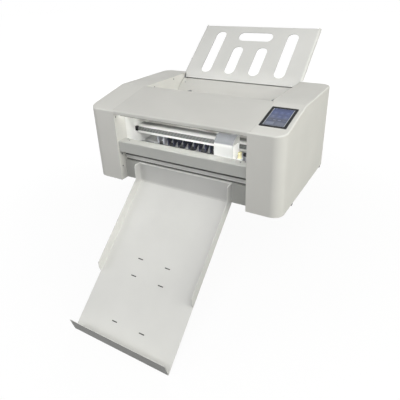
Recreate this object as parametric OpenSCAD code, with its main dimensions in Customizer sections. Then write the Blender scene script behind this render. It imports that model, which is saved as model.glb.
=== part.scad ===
// Sheet-fed digital die cutting machine for label and card sheets up to 330 mm wide.
// Millimetres, +X to the right, +Y to the back, +Z up. The origin is the centre of the
// casing's footprint, on the underside of the base plate.

/* [Casing] */
// Overall width over the two end housings
body_w = 670; // [650:1:720]
// Overall depth of the casing
body_d = 455; // [450:1:490]
// Height of the front top edge
front_h = 241; // [236:1:250]
// Height of the flat rear top
top_h = 281; // [276:1:295]
// Depth of the sloping part of the top
slope_run = 173; // [165:1:174]
// Radius of the upright corners
corner_r = 34; // [20:1:45]
// Radius of the rounded top edges
edge_r = 4; // [3:0.5:8]
// Thickness of the painted sheet metal
sheet = 1.5; // [1.2:0.1:2]
// Width of each end housing
end_w = 105.5; // [104:0.5:108]
// Gap at the seams between panels
seam = 0.4; // [0.2:0.1:0.8]

/* [Covers and panels] */
// Distance from the front to the feed bay's front edge
cover_run = 176.5; // [175:0.5:182]
// How far the top cover laps over each end housing
cover_lap = 8; // [5:1:15]
// Height of the top cover's front lip
lip_h = 11; // [9:1:20]
// Height of the bay's folded-down edges
bay_edge_h = 26; // [15:1:30]
// Height of the ledge in front of the cutting bed
ledge_h = 139; // [136:1:145]
// Depth of the ledge
ledge_d = 35; // [25:1:38]
// Setback of the upper front panel
panel_setback = 5; // [2:0.5:6]
// Height of the upper front panel
panel_h = 36; // [30:1:40]
// Setback of the lower front panel
lower_setback = 30.2; // [29:0.1:32]
// Height of the lower front panel
lower_h = 64; // [63:1:68]
// Depth of the housings' inner return beside the opening
return_d = 50; // [44:1:60]
// Width of the housings' floor flange that carries the feet
floor_flange = 73; // [60:1:80]
// Thickness of the inner side frames
frame_t = 3; // [2:0.5:4]
// Setback of the side frames
frame_setback = 40; // [38:1:46]
// Foot radius
foot_r = 18; // [12:1:22]
// Foot height
foot_h = 14; // [8:1:20]
// Distance from a foot's centre to the casing's side
foot_inset_x = 20; // [20:0.5:30]
// Distance from a front foot's centre to the casing's front
foot_front = 118; // [60:1:140]
// Distance from a rear foot's centre to the casing's back
foot_rear = 28; // [24:1:60]

/* [Output tray] */
// Width of the tray over its side flanges
tray_w = 342; // [336:1:380]
// Length of the tray's floor
tray_len = 501; // [430:1:520]
// Slope of the tray's floor in degrees
tray_angle = 41.8; // [35:0.2:48]
// Height of the tray's back plate
tray_back_h = 66.5; // [66:0.5:68]
// Height of the flanges along the floor
tray_flange_h = 30; // [15:1:36]
// Length of the flanges along the floor
tray_flange_len = 320; // [200:1:400]
// Depth of the tall ears beside the back plate
tray_ear_d = 27; // [16:1:34]
// Length of the front lip
tray_lip = 45; // [20:1:60]
// Angle of the front lip from the horizontal
tray_lip_angle = 103.5; // [95:0.5:120]
// Travel that frees the tray from its hooks
tray_lift = 14; // [12:1:16]
// Width of each hook
hook_w = 20; // [12:1:30]
// Spacing of the two hooks
hook_spacing = 220; // [120:1:280]
// Drop of each hook behind the panel
hook_drop = 10; // [6:1:12]

/* [Feed tray] */
// How far the feed tray's bent-back edges reach over each housing
feed_over = 7.5; // [4:0.5:10]
// Length of the feed tray
feed_len = 272; // [264:1:284]
// Outer radius of the feed tray's bent-back edges
feed_bend = 8; // [5:0.5:9]
// Slope of the feed tray in degrees
feed_angle = 39.4; // [38.6:0.2:41]
// Distance from the front to the feed tray's lower edge
feed_setback = 413.7; // [412:0.1:415]
// Height of the feed tray's lower edge
feed_h = 268.3; // [267:0.1:269]
// Depth of the stiffening edges
feed_flange = 12; // [11:1:16]
// Radius of the hinge pins
hinge_r = 3; // [2:0.5:4]
// Half the width of the upright slots
slot_r = 20.8; // [12:0.1:22]
// Distance of the long slots from the middle
slot_long_x = 148.5; // [130:0.5:160]
// Distance of the short slots from the middle
slot_short_x = 49.3; // [42:0.1:60]
// Lower end of the slots along the tray
slot_low = 53.3; // [48:0.1:64]
// Upper end of the long slots along the tray
slot_long_top = 217.5; // [150:0.5:224]
// Upper end of the short slots along the tray
slot_short_top = 144.7; // [90:0.1:150]
// Half the height of the handle slot
handle_r = 21; // [16:1:23]
// Half the distance between the handle slot's end centres
handle_x = 49; // [30:1:65]
// Place of the handle slot along the tray
handle_at = 216.8; // [212:0.1:222]
// Sheet width that the paper guides are set to
media_w = 330; // [300:1:340]
// Height of the paper guides
guide_h = 22; // [12:1:24]
// Length of the paper guides
guide_len = 98; // [60:1:100]
// Inward travel of each paper guide
guide_travel = 60; // [30:1:62]

/* [Cutting bed and rollers] */
// Height of the bed's top
bed_h = 100; // [98:1:102]
// Thickness of the front bed
bed_t = 8; // [6:0.5:9]
// Distance from the front to the bed's front edge
bed_front = 60; // [56:1:62]
// Width of the cutting strip
strip_w = 10; // [6:0.5:14]
// Depth of the cutting strip
strip_t = 2; // [1:0.5:3]
// Radius of the drive roller's grit bands
roller_r = 8; // [7:0.5:9]
// Distance from the front to the drive roller
roller_at = 126; // [124:0.5:128]
// Radius of the drive roller's journals
journal_r = 6; // [5:0.5:6.5]
// Radius of the pinch rollers
pinch_r = 6; // [5:0.5:6.5]
// Length of each pinch roller
pinch_len = 14; // [8:1:18]
// Spacing of the pinch rollers
pinch_pitch = 41; // [36:1:46]
// Number of pinch rollers
pinch_count = 8; // [4:2:8]
// Width of each pinch holder
holder_w = 26; // [22:1:30]
// Radius of the pick-up tyres
tyre_r = 15; // [12:0.5:16]
// Width of each pick-up tyre
tyre_w = 28; // [16:1:36]
// Spacing of the pick-up tyres
tyre_pitch = 64; // [50:1:70]
// Radius of the pick-up shaft
pick_r = 4; // [3:0.5:5]
// Place of the pick-up shaft below the feed tray, along the slope
pick_at = 171; // [168:1:174]

/* [Beam and carriage] */
// Distance from the front to the beam's face
beam_at = 105; // [104:0.5:107]
// Depth of the beam
beam_d = 42; // [36:1:44]
// Height of the beam's underside
beam_h = 138; // [137:1:140]
// Height of the beam's section
beam_t = 26; // [24:1:28]
// Height of the guide rail
rail_h = 11.4; // [9:0.2:12]
// How far the guide rail stands out of the beam
rail_out = 6; // [5:0.5:7]
// Width of the carriage cover
carriage_w = 62; // [60:1:66]
// Place of the carriage along the beam
carriage_x = 129.5; // [90:0.5:132]
// Radius of the carriage cover's drum
cover_r = 31; // [30:0.5:32]
// Wall of the carriage cover
cover_t = 1.8; // [1.2:0.1:2.4]
// Radius of the carriage pulleys
pulley_r = 9.5; // [8:0.5:10]
// Width of the carriage belt
belt_w = 6; // [4:0.5:7]
// Thickness of the belts
belt_t = 1.5; // [1:0.1:2]
// Radius of the blade holder
holder_r = 6; // [4.5:0.5:7]
// Distance from the carriage's middle to the blade
blade_x = 46.5; // [45:0.5:50]
// Distance from the front to the blade
blade_at = 75; // [73:0.5:77]
// Downward stroke of the blade
blade_stroke = 5; // [3:0.5:6]

/* [Screen and connections] */
// Width of the screen's bezel
screen_w = 77; // [60:1:84]
// Length of the screen's bezel along the slope
screen_l = 107; // [80:1:120]
// Margin of the bezel round the display
screen_margin = 6.5; // [4:0.5:10]
// Distance from the screen's middle to the casing's side
screen_inset = 52; // [50:1:56]
// Distance from the front edge to the screen's middle, along the slope
screen_at = 94.5; // [80:0.5:100]
// Width of the power inlet's opening
inlet_w = 28; // [26:0.5:30]
// Height of the power inlet's opening
inlet_h = 22; // [20:0.5:26]
// Width of the power switch
switch_w = 16; // [12:0.5:20]
// Height of the power switch
switch_h = 22; // [18:0.5:26]
// Tilt of the power switch to either side in degrees
switch_tilt = 8; // [6:1:9]
// Height of the sockets' row on the back
socket_row = 48; // [40:1:60]
// Size of each motor's square body
motor_size = 42; // [35:1:44]

/* [Fits] */
// Radial clearance of the running fits
run_fit = 0.05; // [0.02:0.01:0.1]
// Gap between sliding pieces
slide_gap = 0.2; // [0.1:0.05:0.3]
// Gap between curved faces that pass each other
pass_gap = 0.3; // [0.2:0.05:0.5]

/* [Hidden] */
$fn = 48;

half_w = body_w / 2;
open_w = body_w - 2 * end_w;
feed_w = open_w - 3;
feed_span = open_w + 2 * feed_over;
front_y = -body_d / 2;
back_y = body_d / 2;
slope = (top_h - front_h) / slope_run;
slope_a = atan(slope);
break_y = front_y + slope_run;
bay_y = front_y + cover_run;
open_x = open_w / 2;
frame_in = open_x + sheet;
frame_out = frame_in + frame_t;
panel_x = open_x - seam;
inner_x = frame_in - slide_gap;
floor_x = half_w - floor_flange;
roof_gap = 4;
merge = 0.02;
bend_relief = 4.5;
bend_gap = 1;
edge_steps = 6;
corner_steps = 16;
base_rib = 12;
supply_w = 180;
supply_d = 98;
supply_h = 42;
supply_back = 130;
supply_y = back_y - supply_back;
board_at = 300;
board_w = 120;
board_z = 30;
board_gap = 10;
board_t = 1.6;
board_edge = 8;
pillar_r = 3;
foot_taper = 2;

tray_y = front_y + lower_setback - slide_gap - sheet;
tray_x = tray_w / 2;
tray_z = -1;
tray_fold = 3.4;
ear_r = 10;
hook_z = 36;
hook_gap = 0.4;
nose_r = 7;
nose_back = 9.7;
nose_rise = 16;
lead_drop = 14;
panel_return = 14;
slit_rows = [245.5, 299, 438.5];
slit_x = 50;
slit_l = 14;
slit_w = 2;

feed_y = front_y + feed_setback;
// the tray leans on the front edge of the rear cover's top strip
lean_v = (top_h + slide_gap + sheet * cos(feed_angle) - feed_h) / sin(feed_angle);
strip_y = feed_y + lean_v * cos(feed_angle) + sheet * sin(feed_angle);
frame_back = strip_y + 7;
// the bent-back edges stop above the housings' tops
wing_v = (top_h + 4 - feed_h) / sin(feed_angle);
tongue_cut = 10;
tongue_rise = wing_v - 4;
hinge_v = 5;
hinge_n = -(sheet + 4);
hinge_ear_r = 6;
hinge_ear_x = feed_w / 2 - tongue_cut - 2;
plate_start = 4;
bend_r = 60;
rear_bed_t = 2;
plate_x = open_x - 2;
guide_v = -62;
guide_t = 2;
guide_slot = 8;
guide_foot = 6;
plate_ear = 20;

roller_y = front_y + roller_at;
roller_z = bed_h + pass_gap - roller_r;
roller_gap = 10;
core_r = roller_r - 0.6;
barrel_x = open_x - 6;
bushing_r = journal_r + 3;
bushing_flange = 2;
pinch_z = roller_z + roller_r + pass_gap + pinch_r;
pinch_pin_r = 2;
holder_cheek = 4;
bar_y = front_y + beam_at + beam_d + 3;
bar_d = 10;
bar_z = beam_h - 20;
bar_t = 16;
roller_pulley_r = 16;
feed_pulley_r = 8;
pulley_flange = 2;
side_belt_x = frame_out + 6;
side_belt_w = 6;
motor_shaft_r = 2.5;
motor_boss_r = 11;
feed_motor_y = roller_y + 54;
feed_motor_z = 48;
motor_l = 40;

beam_y = front_y + beam_at;
beam_x = frame_in - slide_gap / 2;
rail_z = beam_h + beam_t / 2 + 2.8;
rail_in = 4;
groove_gap = 0.3;
stop_w = 10;
block_l = 56;
block_t = 10.5;
jaw_t = 5;
plate_t = 4;
block_front = beam_y - rail_out - slide_gap - block_t;
car_plate_y = block_front - plate_t;
car_plate_h = 66;
car_z = 112;
cover_front = front_y + 56;
cover_back = beam_y - pass_gap;
cover_cy = cover_front + cover_r;
cover_cz = car_z + 48;
rail_clear = 3;
belt_y = front_y + beam_at + beam_d + 8;
belt_z = beam_h + beam_t + 2;
pulley_x = frame_out + motor_size / 2 + 3;
belt_gap = pass_gap;
bracket_t = 3;
bracket_y = belt_y + belt_w / 2 + 3;
idler_r = 3;
clamp_x = 12;
jaw_gap = 0.4;
ear_w = 32;
ear_z = 112;
ear_h = 20;
tool_w = 22;
tool_h = 15;
tool_z = 113;
cheek_t = 3;
cheek_h = 20;
tool_front = front_y + blade_at - holder_r - 3;
nose_z = bed_h + blade_stroke + 2;
blade_r = 1;
knob_r = 6;

screen_x = half_w - screen_inset;
bezel_t = 1.2;
bezel_depth = 8;
bezel_fit = 2;
inlet_x = 150;
switch_x = 105;
usb_x = 60;
usb_w = 13;
usb_h = 11;
socket_depth = 22;
socket_rim = 3;
socket_proud = 2;

// Height of the casing's top at a distance along Y
function roof(y) = min(front_h + slope * (y - front_y), top_h);
// Point at an angle on a circle
function polar(c, r, a) = [c[0] + r * cos(a), c[1] + r * sin(a)];
// Place in the Y-Z plane of a point given along and square to the feed slope
function feed_yz(v, n) = [feed_y + v * cos(feed_angle) - n * sin(feed_angle),
    feed_h + v * sin(feed_angle) + n * cos(feed_angle)];
// Place in the Y-Z plane of a point given down and square to the output tray's floor
function tray_yz(s, h) = [tray_y - s * cos(tray_angle) - h * sin(tray_angle),
    tray_z - s * sin(tray_angle) + h * cos(tray_angle)];
// Places of a row of equal pieces about the middle
function row(count, pitch) = [for (i = [0 : count - 1]) (i - (count - 1) / 2) * pitch];

hinge_yz = feed_yz(hinge_v, hinge_n);
pick_yz = feed_yz(-pick_at, tyre_r + 0.5);
bend_at = (feed_h - bed_h) / sin(feed_angle);
bend_tangent = bend_r * tan(feed_angle / 2);

// A profile in the Y-Z plane, drawn from one X to another
module along_x(x0, x1) {
    translate([x0, 0, 0])
        rotate([90, 0, 90])
            linear_extrude(x1 - x0)
                children();
}

// A profile in the X-Z plane, drawn from one Y to another
module along_y(y0, y1) {
    translate([0, y1, 0])
        rotate([90, 0, 0])
            linear_extrude(y1 - y0)
                children();
}

// A rod along X
module rod_x(x0, x1, y, z, r) {
    translate([x0, y, z])
        rotate([0, 90, 0])
            cylinder(r = r, h = x1 - x0);
}

// A rod along Y
module rod_y(y0, y1, x, z, r) {
    translate([x, y1, z])
        rotate([90, 0, 0])
            cylinder(r = r, h = y1 - y0);
}

// A box given by its two corners
module block(a, b) {
    translate(a)
        cube(b - a);
}

// A rectangle about the origin with round corners
module round_rect(w, h, r) {
    square([w - 2 * r, h], center = true);
    square([w, h - 2 * r], center = true);
    for (x = [-1, 1], y = [-1, 1])
        translate([x * (w / 2 - r), y * (h / 2 - r)])
            circle(r);
}

// A slot with round ends between two points on a line along Y or X
module slot(a, b, r) {
    d = b - a;
    translate(a)
        rotate(atan2(d[1], d[0]))
            translate([0, -r])
                square([norm(d), 2 * r]);
    translate(a)
        circle(r);
    translate(b)
        circle(r);
}

// A strip of sheet from a to b, its thickness on the left hand of the way
module strip(a, b, t) {
    d = b - a;
    translate(a)
        rotate(atan2(d[1], d[0]))
            square([norm(d), t]);
}

// The space that a belt on two wheels encloses, from one X to another
module belt_space(x0, x1, a, ra, b, rb) {
    d = b - a;
    way = atan2(d[1], d[0]);
    turn = acos((ra - rb) / norm(d));
    rod_x(x0, x1, a[0], a[1], ra);
    rod_x(x0, x1, b[0], b[1], rb);
    along_x(x0, x1)
        polygon([polar(a, ra - merge, way + turn), polar(b, rb - merge, way + turn),
            polar(b, rb - merge, way - turn), polar(a, ra - merge, way - turn)]);
}

// The feed slope's own frame: Y up the slope, Z square to it
module on_feed() {
    translate([0, feed_y, feed_h])
        rotate([feed_angle, 0, 0])
            children();
}

// The output tray's own frame: Y up the floor, Z square to it
module on_tray() {
    translate([0, tray_y, tray_z])
        rotate([tray_angle, 0, 0])
            children();
}

// The front slope's own frame: Y up the slope, Z square to it
module on_slope() {
    translate([0, front_y, front_h])
        rotate([slope_a, 0, 0])
            children();
}

// The right end of the casing as a solid block, taken in by a margin on every side but the inner
module end_block(margin, floor_z) {
    wall = half_w - margin;
    y0 = front_y + margin;
    y1 = back_y - margin;
    cr = corner_r - margin;
    er = edge_r - margin;
    angles = [for (i = [0 : edge_steps]) 90 * i / edge_steps];
    turns = [for (i = [0 : corner_steps]) 90 * i / corner_steps];
    front_c = [wall - cr, y0 + cr];
    rear_c = [wall - cr, y1 - cr];
    front_rim = [for (a = angles, t = turns)
        let (p = polar(front_c, cr - er * (1 - cos(a)), t - 90))
            [p[0], p[1], roof(p[1]) - margin - er * (1 - sin(a))]];
    rear_rim = [for (a = angles, t = turns)
        let (p = polar(rear_c, cr - er * (1 - cos(a)), t))
            [p[0], p[1], top_h - margin - er * (1 - sin(a))]];
    break_rim = [for (a = angles)
        [wall - er * (1 - cos(a)), break_y, top_h - margin - er * (1 - sin(a))]];
    inner_front = [for (a = angles)
        let (y = y0 + er * (1 - cos(a))) [open_x, y, roof(y) - margin - er * (1 - sin(a))]];
    inner_rear = [for (a = angles)
        [open_x, y1 - er * (1 - cos(a)), top_h - margin - er * (1 - sin(a))]];
    foot_line = [for (t = turns) each [
        [polar(front_c, cr, t - 90)[0], polar(front_c, cr, t - 90)[1], floor_z],
        [polar(rear_c, cr, t)[0], polar(rear_c, cr, t)[1], floor_z]]];
    points = concat(front_rim, rear_rim, break_rim, inner_front, inner_rear, foot_line,
        [[open_x, break_y, top_h - margin], [open_x, y0, floor_z], [open_x, y1, floor_z]]);
    hull()
        polyhedron(points = points, faces = [[for (i = [0 : len(points) - 1]) i]]);
}

// A right-hand end housing: an open shell with returns folded in beside the openings
module end_housing() {
    difference() {
        union() {
            difference() {
                end_block(0, 0);
                end_block(sheet, sheet);
                block([open_x - 1, front_y + sheet, -1], [floor_x, back_y - sheet, 2 * sheet]);
            }
            along_x(open_x, open_x + sheet)
                polygon([[front_y + sheet / 2, 0], [front_y + lower_setback - seam, 0],
                    [front_y + lower_setback - seam, lower_h], [front_y + return_d, lower_h],
                    [front_y + return_d, roof(front_y + return_d) - sheet / 2],
                    [front_y + edge_r, roof(front_y + edge_r) - sheet / 2],
                    [front_y + sheet / 2, front_h - edge_r]]);
            block([open_x, bay_y + seam, top_h - bay_edge_h],
                [open_x + sheet, hinge_yz[0] - 3 * hinge_r, top_h - sheet / 2]);
            block([open_x, strip_y + seam, sheet + seam],
                [open_x + sheet, back_y - sheet / 2, top_h - edge_r]);
        }
        // room for the top cover's lap
        along_x(open_x - 1, open_x + cover_lap + seam)
            polygon([[front_y + edge_r + sheet, roof(front_y + edge_r + sheet) - sheet - seam / 2],
                [break_y, top_h - sheet - seam / 2], [bay_y + seam, top_h - sheet - seam / 2],
                [bay_y + seam, top_h + edge_r], [front_y + edge_r + sheet, top_h + edge_r]]);
    }
}

module left_housing() {
    color([0.80, 0.80, 0.77])
        mirror([1, 0, 0])
            end_housing();
}

module right_housing() {
    color([0.80, 0.80, 0.77])
        difference() {
            end_housing();
            on_slope()
                translate([screen_x, screen_at, -bezel_depth])
                    linear_extrude(2 * bezel_depth)
                        square([screen_w - 2 * bezel_fit + slide_gap, screen_l - 2 * bezel_fit + slide_gap],
                            center = true);
            // bend relief at the bay's front corner
            block([open_x - 1, bay_y, top_h - bend_relief],
                [open_x + bend_relief, bay_y + bend_relief, top_h + 1]);
        }
}

module base_plate() {
    y0 = front_y + lower_setback + sheet + seam;
    y1 = back_y - sheet - seam;
    color([0.62, 0.63, 0.62]) {
        difference() {
            union() {
                block([-floor_x + seam, y0, 0], [floor_x - seam, y1, sheet]);
                block([-panel_x, y0, 0], [panel_x, y0 + sheet, base_rib]);
                block([-panel_x, y1 - sheet, 0], [panel_x, y1, base_rib]);
            }
            // cooling slots under the power supply
            for (x = row(9, 18))
                translate([x, supply_y + supply_d / 2, -1])
                    linear_extrude(2 * base_rib)
                        slot([0, -supply_d / 3], [0, supply_d / 3], 2);
        }
    }
}

// One inner side frame, with the bores and windows for what passes through it
module side_frame(motor_side) {
    top = top_h - roof_gap;
    y0 = front_y + frame_setback;
    difference() {
        along_x(frame_in, frame_out)
            difference() {
                polygon([[y0, sheet], [frame_back, sheet], [frame_back, top],
                    [break_y, top], [y0, roof(y0) - roof_gap]]);
                translate([roller_y, roller_z])
                    circle(bushing_r + run_fit);
                translate(pick_yz)
                    circle(pick_r + 3 + run_fit);
                translate(hinge_yz)
                    circle(hinge_r + run_fit);
                // a slot for each strand of the carriage belt
                for (z = [-1, 1])
                    translate([belt_y, belt_z + z * (pulley_r + belt_gap + belt_t / 2)])
                        square([belt_w + 2, belt_t + 3], center = true);
                if (motor_side)
                    translate([feed_motor_y, feed_motor_z])
                        circle(motor_boss_r + slide_gap);
            }
    }
}

module left_side_frame() {
    color([0.93, 0.93, 0.92])
        mirror([1, 0, 0])
            side_frame(false);
}

module right_side_frame() {
    color([0.93, 0.93, 0.92])
        side_frame(true);
}

// Front edge of the top cover: the rounded fold's centre and the outline inside it
module top_fold(r) {
    c = [front_y + edge_r, roof(front_y + edge_r) - edge_r / cos(slope_a)];
    intersection() {
        translate(c)
            circle(r);
        polygon([c + [merge, 0], polar(c, 2 * edge_r, 88 + slope_a), polar(c, 3 * edge_r, 135),
            polar(c, 2 * edge_r, 182)]);
    }
}

module top_cover() {
    c = [front_y + edge_r, roof(front_y + edge_r) - edge_r / cos(slope_a)];
    fold_end = polar(c, edge_r, 90 + slope_a);
    rear = [bay_y, top_h];
    lap_y = front_y + edge_r + 2 * sheet;
    color([0.82, 0.82, 0.79]) {
        along_x(-panel_x, panel_x) {
            difference() {
                top_fold(edge_r);
                top_fold(edge_r - sheet);
            }
            block_2d([front_y, front_h - lip_h], [front_y + sheet, c[1]]);
            polygon([fold_end, [break_y, top_h], rear, [bay_y, top_h - bay_edge_h],
                [bay_y - sheet, top_h - bay_edge_h], [bay_y - sheet, top_h - sheet],
                [break_y + sheet * tan(slope_a / 2), top_h - sheet], polar(c, edge_r - sheet, 90 + slope_a)]);
            // the lip's lower edge is folded in
            block_2d([front_y, front_h - lip_h], [front_y + lip_h, front_h - lip_h + sheet]);
        }
        for (x = [panel_x - sheet, -open_x - cover_lap])
            along_x(x, x + cover_lap + open_x - panel_x + sheet)
                polygon([[lap_y, roof(lap_y)], [break_y, top_h], rear, [bay_y, top_h - sheet],
                    [break_y, top_h - sheet], [lap_y, roof(lap_y) - sheet]]);
    }
}

// A rectangle given by its two corners
module block_2d(a, b) {
    translate(a)
        square(b - a);
}

module rear_cover() {
    c = [back_y - edge_r, top_h - edge_r];
    color([0.80, 0.80, 0.77])
        difference() {
            along_x(-panel_x, panel_x) {
                intersection() {
                    difference() {
                        translate(c)
                            circle(edge_r);
                        translate(c)
                            circle(edge_r - sheet);
                    }
                    block_2d(c, c + [edge_r, edge_r]);
                }
                block_2d([back_y - sheet, 0], [back_y, c[1]]);
                block_2d([strip_y, top_h - sheet], [c[0], top_h]);
                block_2d([strip_y, top_h - bay_edge_h], [strip_y + sheet, top_h]);
            }
            // ventilation slots
            for (x = row(13, 14), z = row(2, 46))
                translate([x - 90, 0, 150 + z])
                    along_y(back_y - 2 * sheet, back_y + 1)
                        slot([0, -15], [0, 15], 2.5);
            translate([inlet_x, 0, socket_row])
                along_y(back_y - 2 * sheet, back_y + 1)
                    square([inlet_w + slide_gap, inlet_h + slide_gap], center = true);
            translate([switch_x, 0, socket_row])
                along_y(back_y - 2 * sheet, back_y + 1)
                    square([switch_w + 2 * socket_rim + slide_gap, switch_h + 2 * socket_rim + slide_gap],
                        center = true);
            translate([usb_x, 0, socket_row])
                along_y(back_y - 2 * sheet, back_y + 1)
                    square([usb_w + slide_gap, usb_h + slide_gap], center = true);
        }
}

module upper_front_panel() {
    y0 = front_y + panel_setback;
    y1 = y0 + ledge_d;
    z0 = ledge_h - panel_h;
    fold = 2 * sheet;
    c = [y0 + fold, ledge_h - fold];
    color([0.78, 0.79, 0.77])
        along_x(-panel_x, panel_x) {
            intersection() {
                difference() {
                    translate(c)
                        circle(fold);
                    translate(c)
                        circle(fold - sheet);
                }
                block_2d([y0, c[1]], [c[0], ledge_h]);
            }
            block_2d([y0, z0], [y0 + sheet, c[1]]);
            block_2d([c[0], ledge_h - sheet], [y1, ledge_h]);
            block_2d([y1 - sheet, ledge_h - 10], [y1, ledge_h]);
            block_2d([y0, z0], [y0 + 8, z0 + sheet]);
        }
}

module exit_guide() {
    nose = [front_y + lower_setback + nose_back, lower_h + nose_rise];
    lead = [front_y + bed_front - seam - sheet / 2, bed_h - 1];
    color([0.85, 0.86, 0.84])
        along_x(-panel_x, panel_x) {
            difference() {
                translate(nose)
                    circle(nose_r);
                translate(nose)
                    circle(nose_r - sheet);
                block_2d(nose, nose + [2 * nose_r, -2 * nose_r - 1]);
                block_2d(nose + [0, -2 * nose_r], nose + [2 * nose_r, 0]);
            }
            strip(lead, polar(nose, nose_r, 110), sheet);
            block_2d([lead[0] - sheet, lead[1] - lead_drop], lead);
        }
}

module lower_front_panel() {
    y0 = front_y + lower_setback;
    color([0.74, 0.75, 0.73])
        difference() {
            along_x(-panel_x, panel_x) {
                block_2d([y0, 0], [y0 + sheet, lower_h]);
                block_2d([y0, lower_h - sheet], [y0 + panel_return, lower_h]);
            }
            for (x = [-1, 1])
                block([x * hook_spacing / 2 - hook_w / 2 - 1, y0 - 1, hook_z - slide_gap / 2],
                    [x * hook_spacing / 2 + hook_w / 2 + 1, y0 + 2 * sheet,
                        hook_z + sheet + tray_lift + slide_gap]);
        }
}

module feet() {
    color([0.12, 0.12, 0.12])
        for (x = [-1, 1], y = [front_y + foot_front, back_y - foot_rear])
            translate([x * (half_w - foot_inset_x), y, -foot_h])
                rotate_extrude()
                    polygon([[0, 0], [foot_r - foot_taper - 1, 0], [foot_r - foot_taper, 1],
                        [foot_r, foot_h - 2], [foot_r, foot_h], [0, foot_h]]);
}

module front_bed() {
    y0 = front_y + bed_front;
    y1 = roller_y - roller_gap;
    strip_y0 = front_y + blade_at - strip_w / 2;
    color([0.72, 0.73, 0.74])
        along_x(-inner_x, inner_x)
            difference() {
                block_2d([y0, bed_h - bed_t], [y1, bed_h]);
                block_2d([strip_y0, bed_h - strip_t], [strip_y0 + strip_w, bed_h + 1]);
            }
}

module cutting_strip() {
    y0 = front_y + blade_at - strip_w / 2 + slide_gap / 2;
    color([0.92, 0.91, 0.86])
        along_x(-inner_x + 5, inner_x - 5)
            block_2d([y0, bed_h - strip_t], [y0 + strip_w - slide_gap, bed_h - slide_gap]);
}

// The rear bed runs flat from the drive roller, then curves up to the feed slope
module rear_bed() {
    corner = feed_yz(-bend_at, 0);
    c = [corner[0] - bend_tangent, bed_h + bend_r];
    end = polar(c, bend_r, feed_angle - 90);
    color([0.80, 0.81, 0.81])
        along_x(-inner_x, inner_x) {
            block_2d([roller_y + roller_gap, bed_h - rear_bed_t], [c[0], bed_h]);
            block_2d([roller_y + roller_gap, bed_h - 12], [roller_y + roller_gap + rear_bed_t, bed_h]);
            intersection() {
                difference() {
                    translate(c)
                        circle(bend_r + rear_bed_t, $fn = 96);
                    translate(c)
                        circle(bend_r, $fn = 96);
                }
                polygon([c, c - [0, 2 * bend_r], c + 2 * (end - c)]);
            }
        }
}

module feed_plate() {
    bottom = -(bend_at - bend_tangent) + seam;
    color([0.80, 0.80, 0.78])
        on_feed()
            difference() {
                union() {
                    block([-plate_x, bottom, -sheet], [plate_x, -plate_start, 0]);
                    for (x = [-1, 1]) {
                        x0 = x > 0 ? plate_x - sheet : -plate_x;
                        block([x0, bottom, -feed_flange], [x0 + sheet, -plate_start, 0]);
                        // ears that fasten the plate to the side frames
                        for (v = [bottom + plate_ear, -3 * plate_ear])
                            block([x > 0 ? x0 : -inner_x, v, -feed_flange],
                                [x > 0 ? inner_x : x0 + sheet, v + plate_ear, -feed_flange + 2 * sheet]);
                    }
                }
                for (x = [-1, 1])
                    translate([x * media_w / 2, guide_v - guide_len / 2, -2 * sheet])
                        linear_extrude(3 * sheet)
                            slot([x * 2, 0], [-x * (guide_travel + 2), 0], guide_slot / 2);
            }
}

// A paper guide: an upright plate on a foot that runs in the feed plate's slot
module paper_guide() {
    mid = guide_v - guide_len / 2;
    on_feed() {
        along_x(0, guide_t)
            polygon([[mid - guide_len / 2, pass_gap], [mid - guide_len / 2, guide_h / 3],
                [mid - guide_len / 4, guide_h], [mid + guide_len / 3, guide_h],
                [mid + guide_len / 2, guide_h / 3], [mid + guide_len / 2, pass_gap]]);
        block([0, mid - guide_foot / 2, -sheet - 2], [guide_t, mid + guide_foot / 2, pass_gap]);
        block([-8, mid - 9, -sheet - pass_gap - 2], [guide_t + 8, mid + 9, -sheet - pass_gap]);
        block([0, mid - 15, pass_gap], [16, mid + 15, pass_gap + 1.2]);
    }
}

module left_paper_guide() {
    color([0.55, 0.56, 0.56])
        translate([-media_w / 2, 0, 0])
            mirror([1, 0, 0])
                paper_guide();
}

module right_paper_guide() {
    color([0.55, 0.56, 0.56])
        translate([media_w / 2, 0, 0])
            paper_guide();
}

// A bent-back edge: a quarter of a ring that turns down from the origin, then a flat
module bent_edge() {
    intersection() {
        difference() {
            translate([0, -feed_bend])
                circle(feed_bend);
            translate([0, -feed_bend])
                circle(feed_bend - sheet);
        }
        block_2d([0, -feed_bend], [feed_bend, 0]);
    }
    block_2d([feed_bend - sheet, -feed_flange], [feed_bend, -feed_bend]);
}

// What is cut off beside the tray's lower end, so that the bent edges stay above the housings
module feed_corners() {
    fx = feed_w / 2;
    low = feed_flange + 1;
    for (side = [-1, 1]) {
        along_x(side > 0 ? fx : -feed_span, side > 0 ? feed_span : -fx)
            polygon([[-2, 1], [wing_v - 1 / tan(feed_angle), 1],
                [wing_v + low / tan(feed_angle), -low], [-2, -low]]);
        translate([side * fx, 0, -low])
            linear_extrude(low + 1)
                polygon([[-1.1 * side * tongue_cut, -0.1 * tongue_rise],
                    [0.1 * side * tongue_cut, 1.1 * tongue_rise],
                    [0.1 * side * tongue_cut, -0.1 * tongue_rise]]);
    }
}

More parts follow.
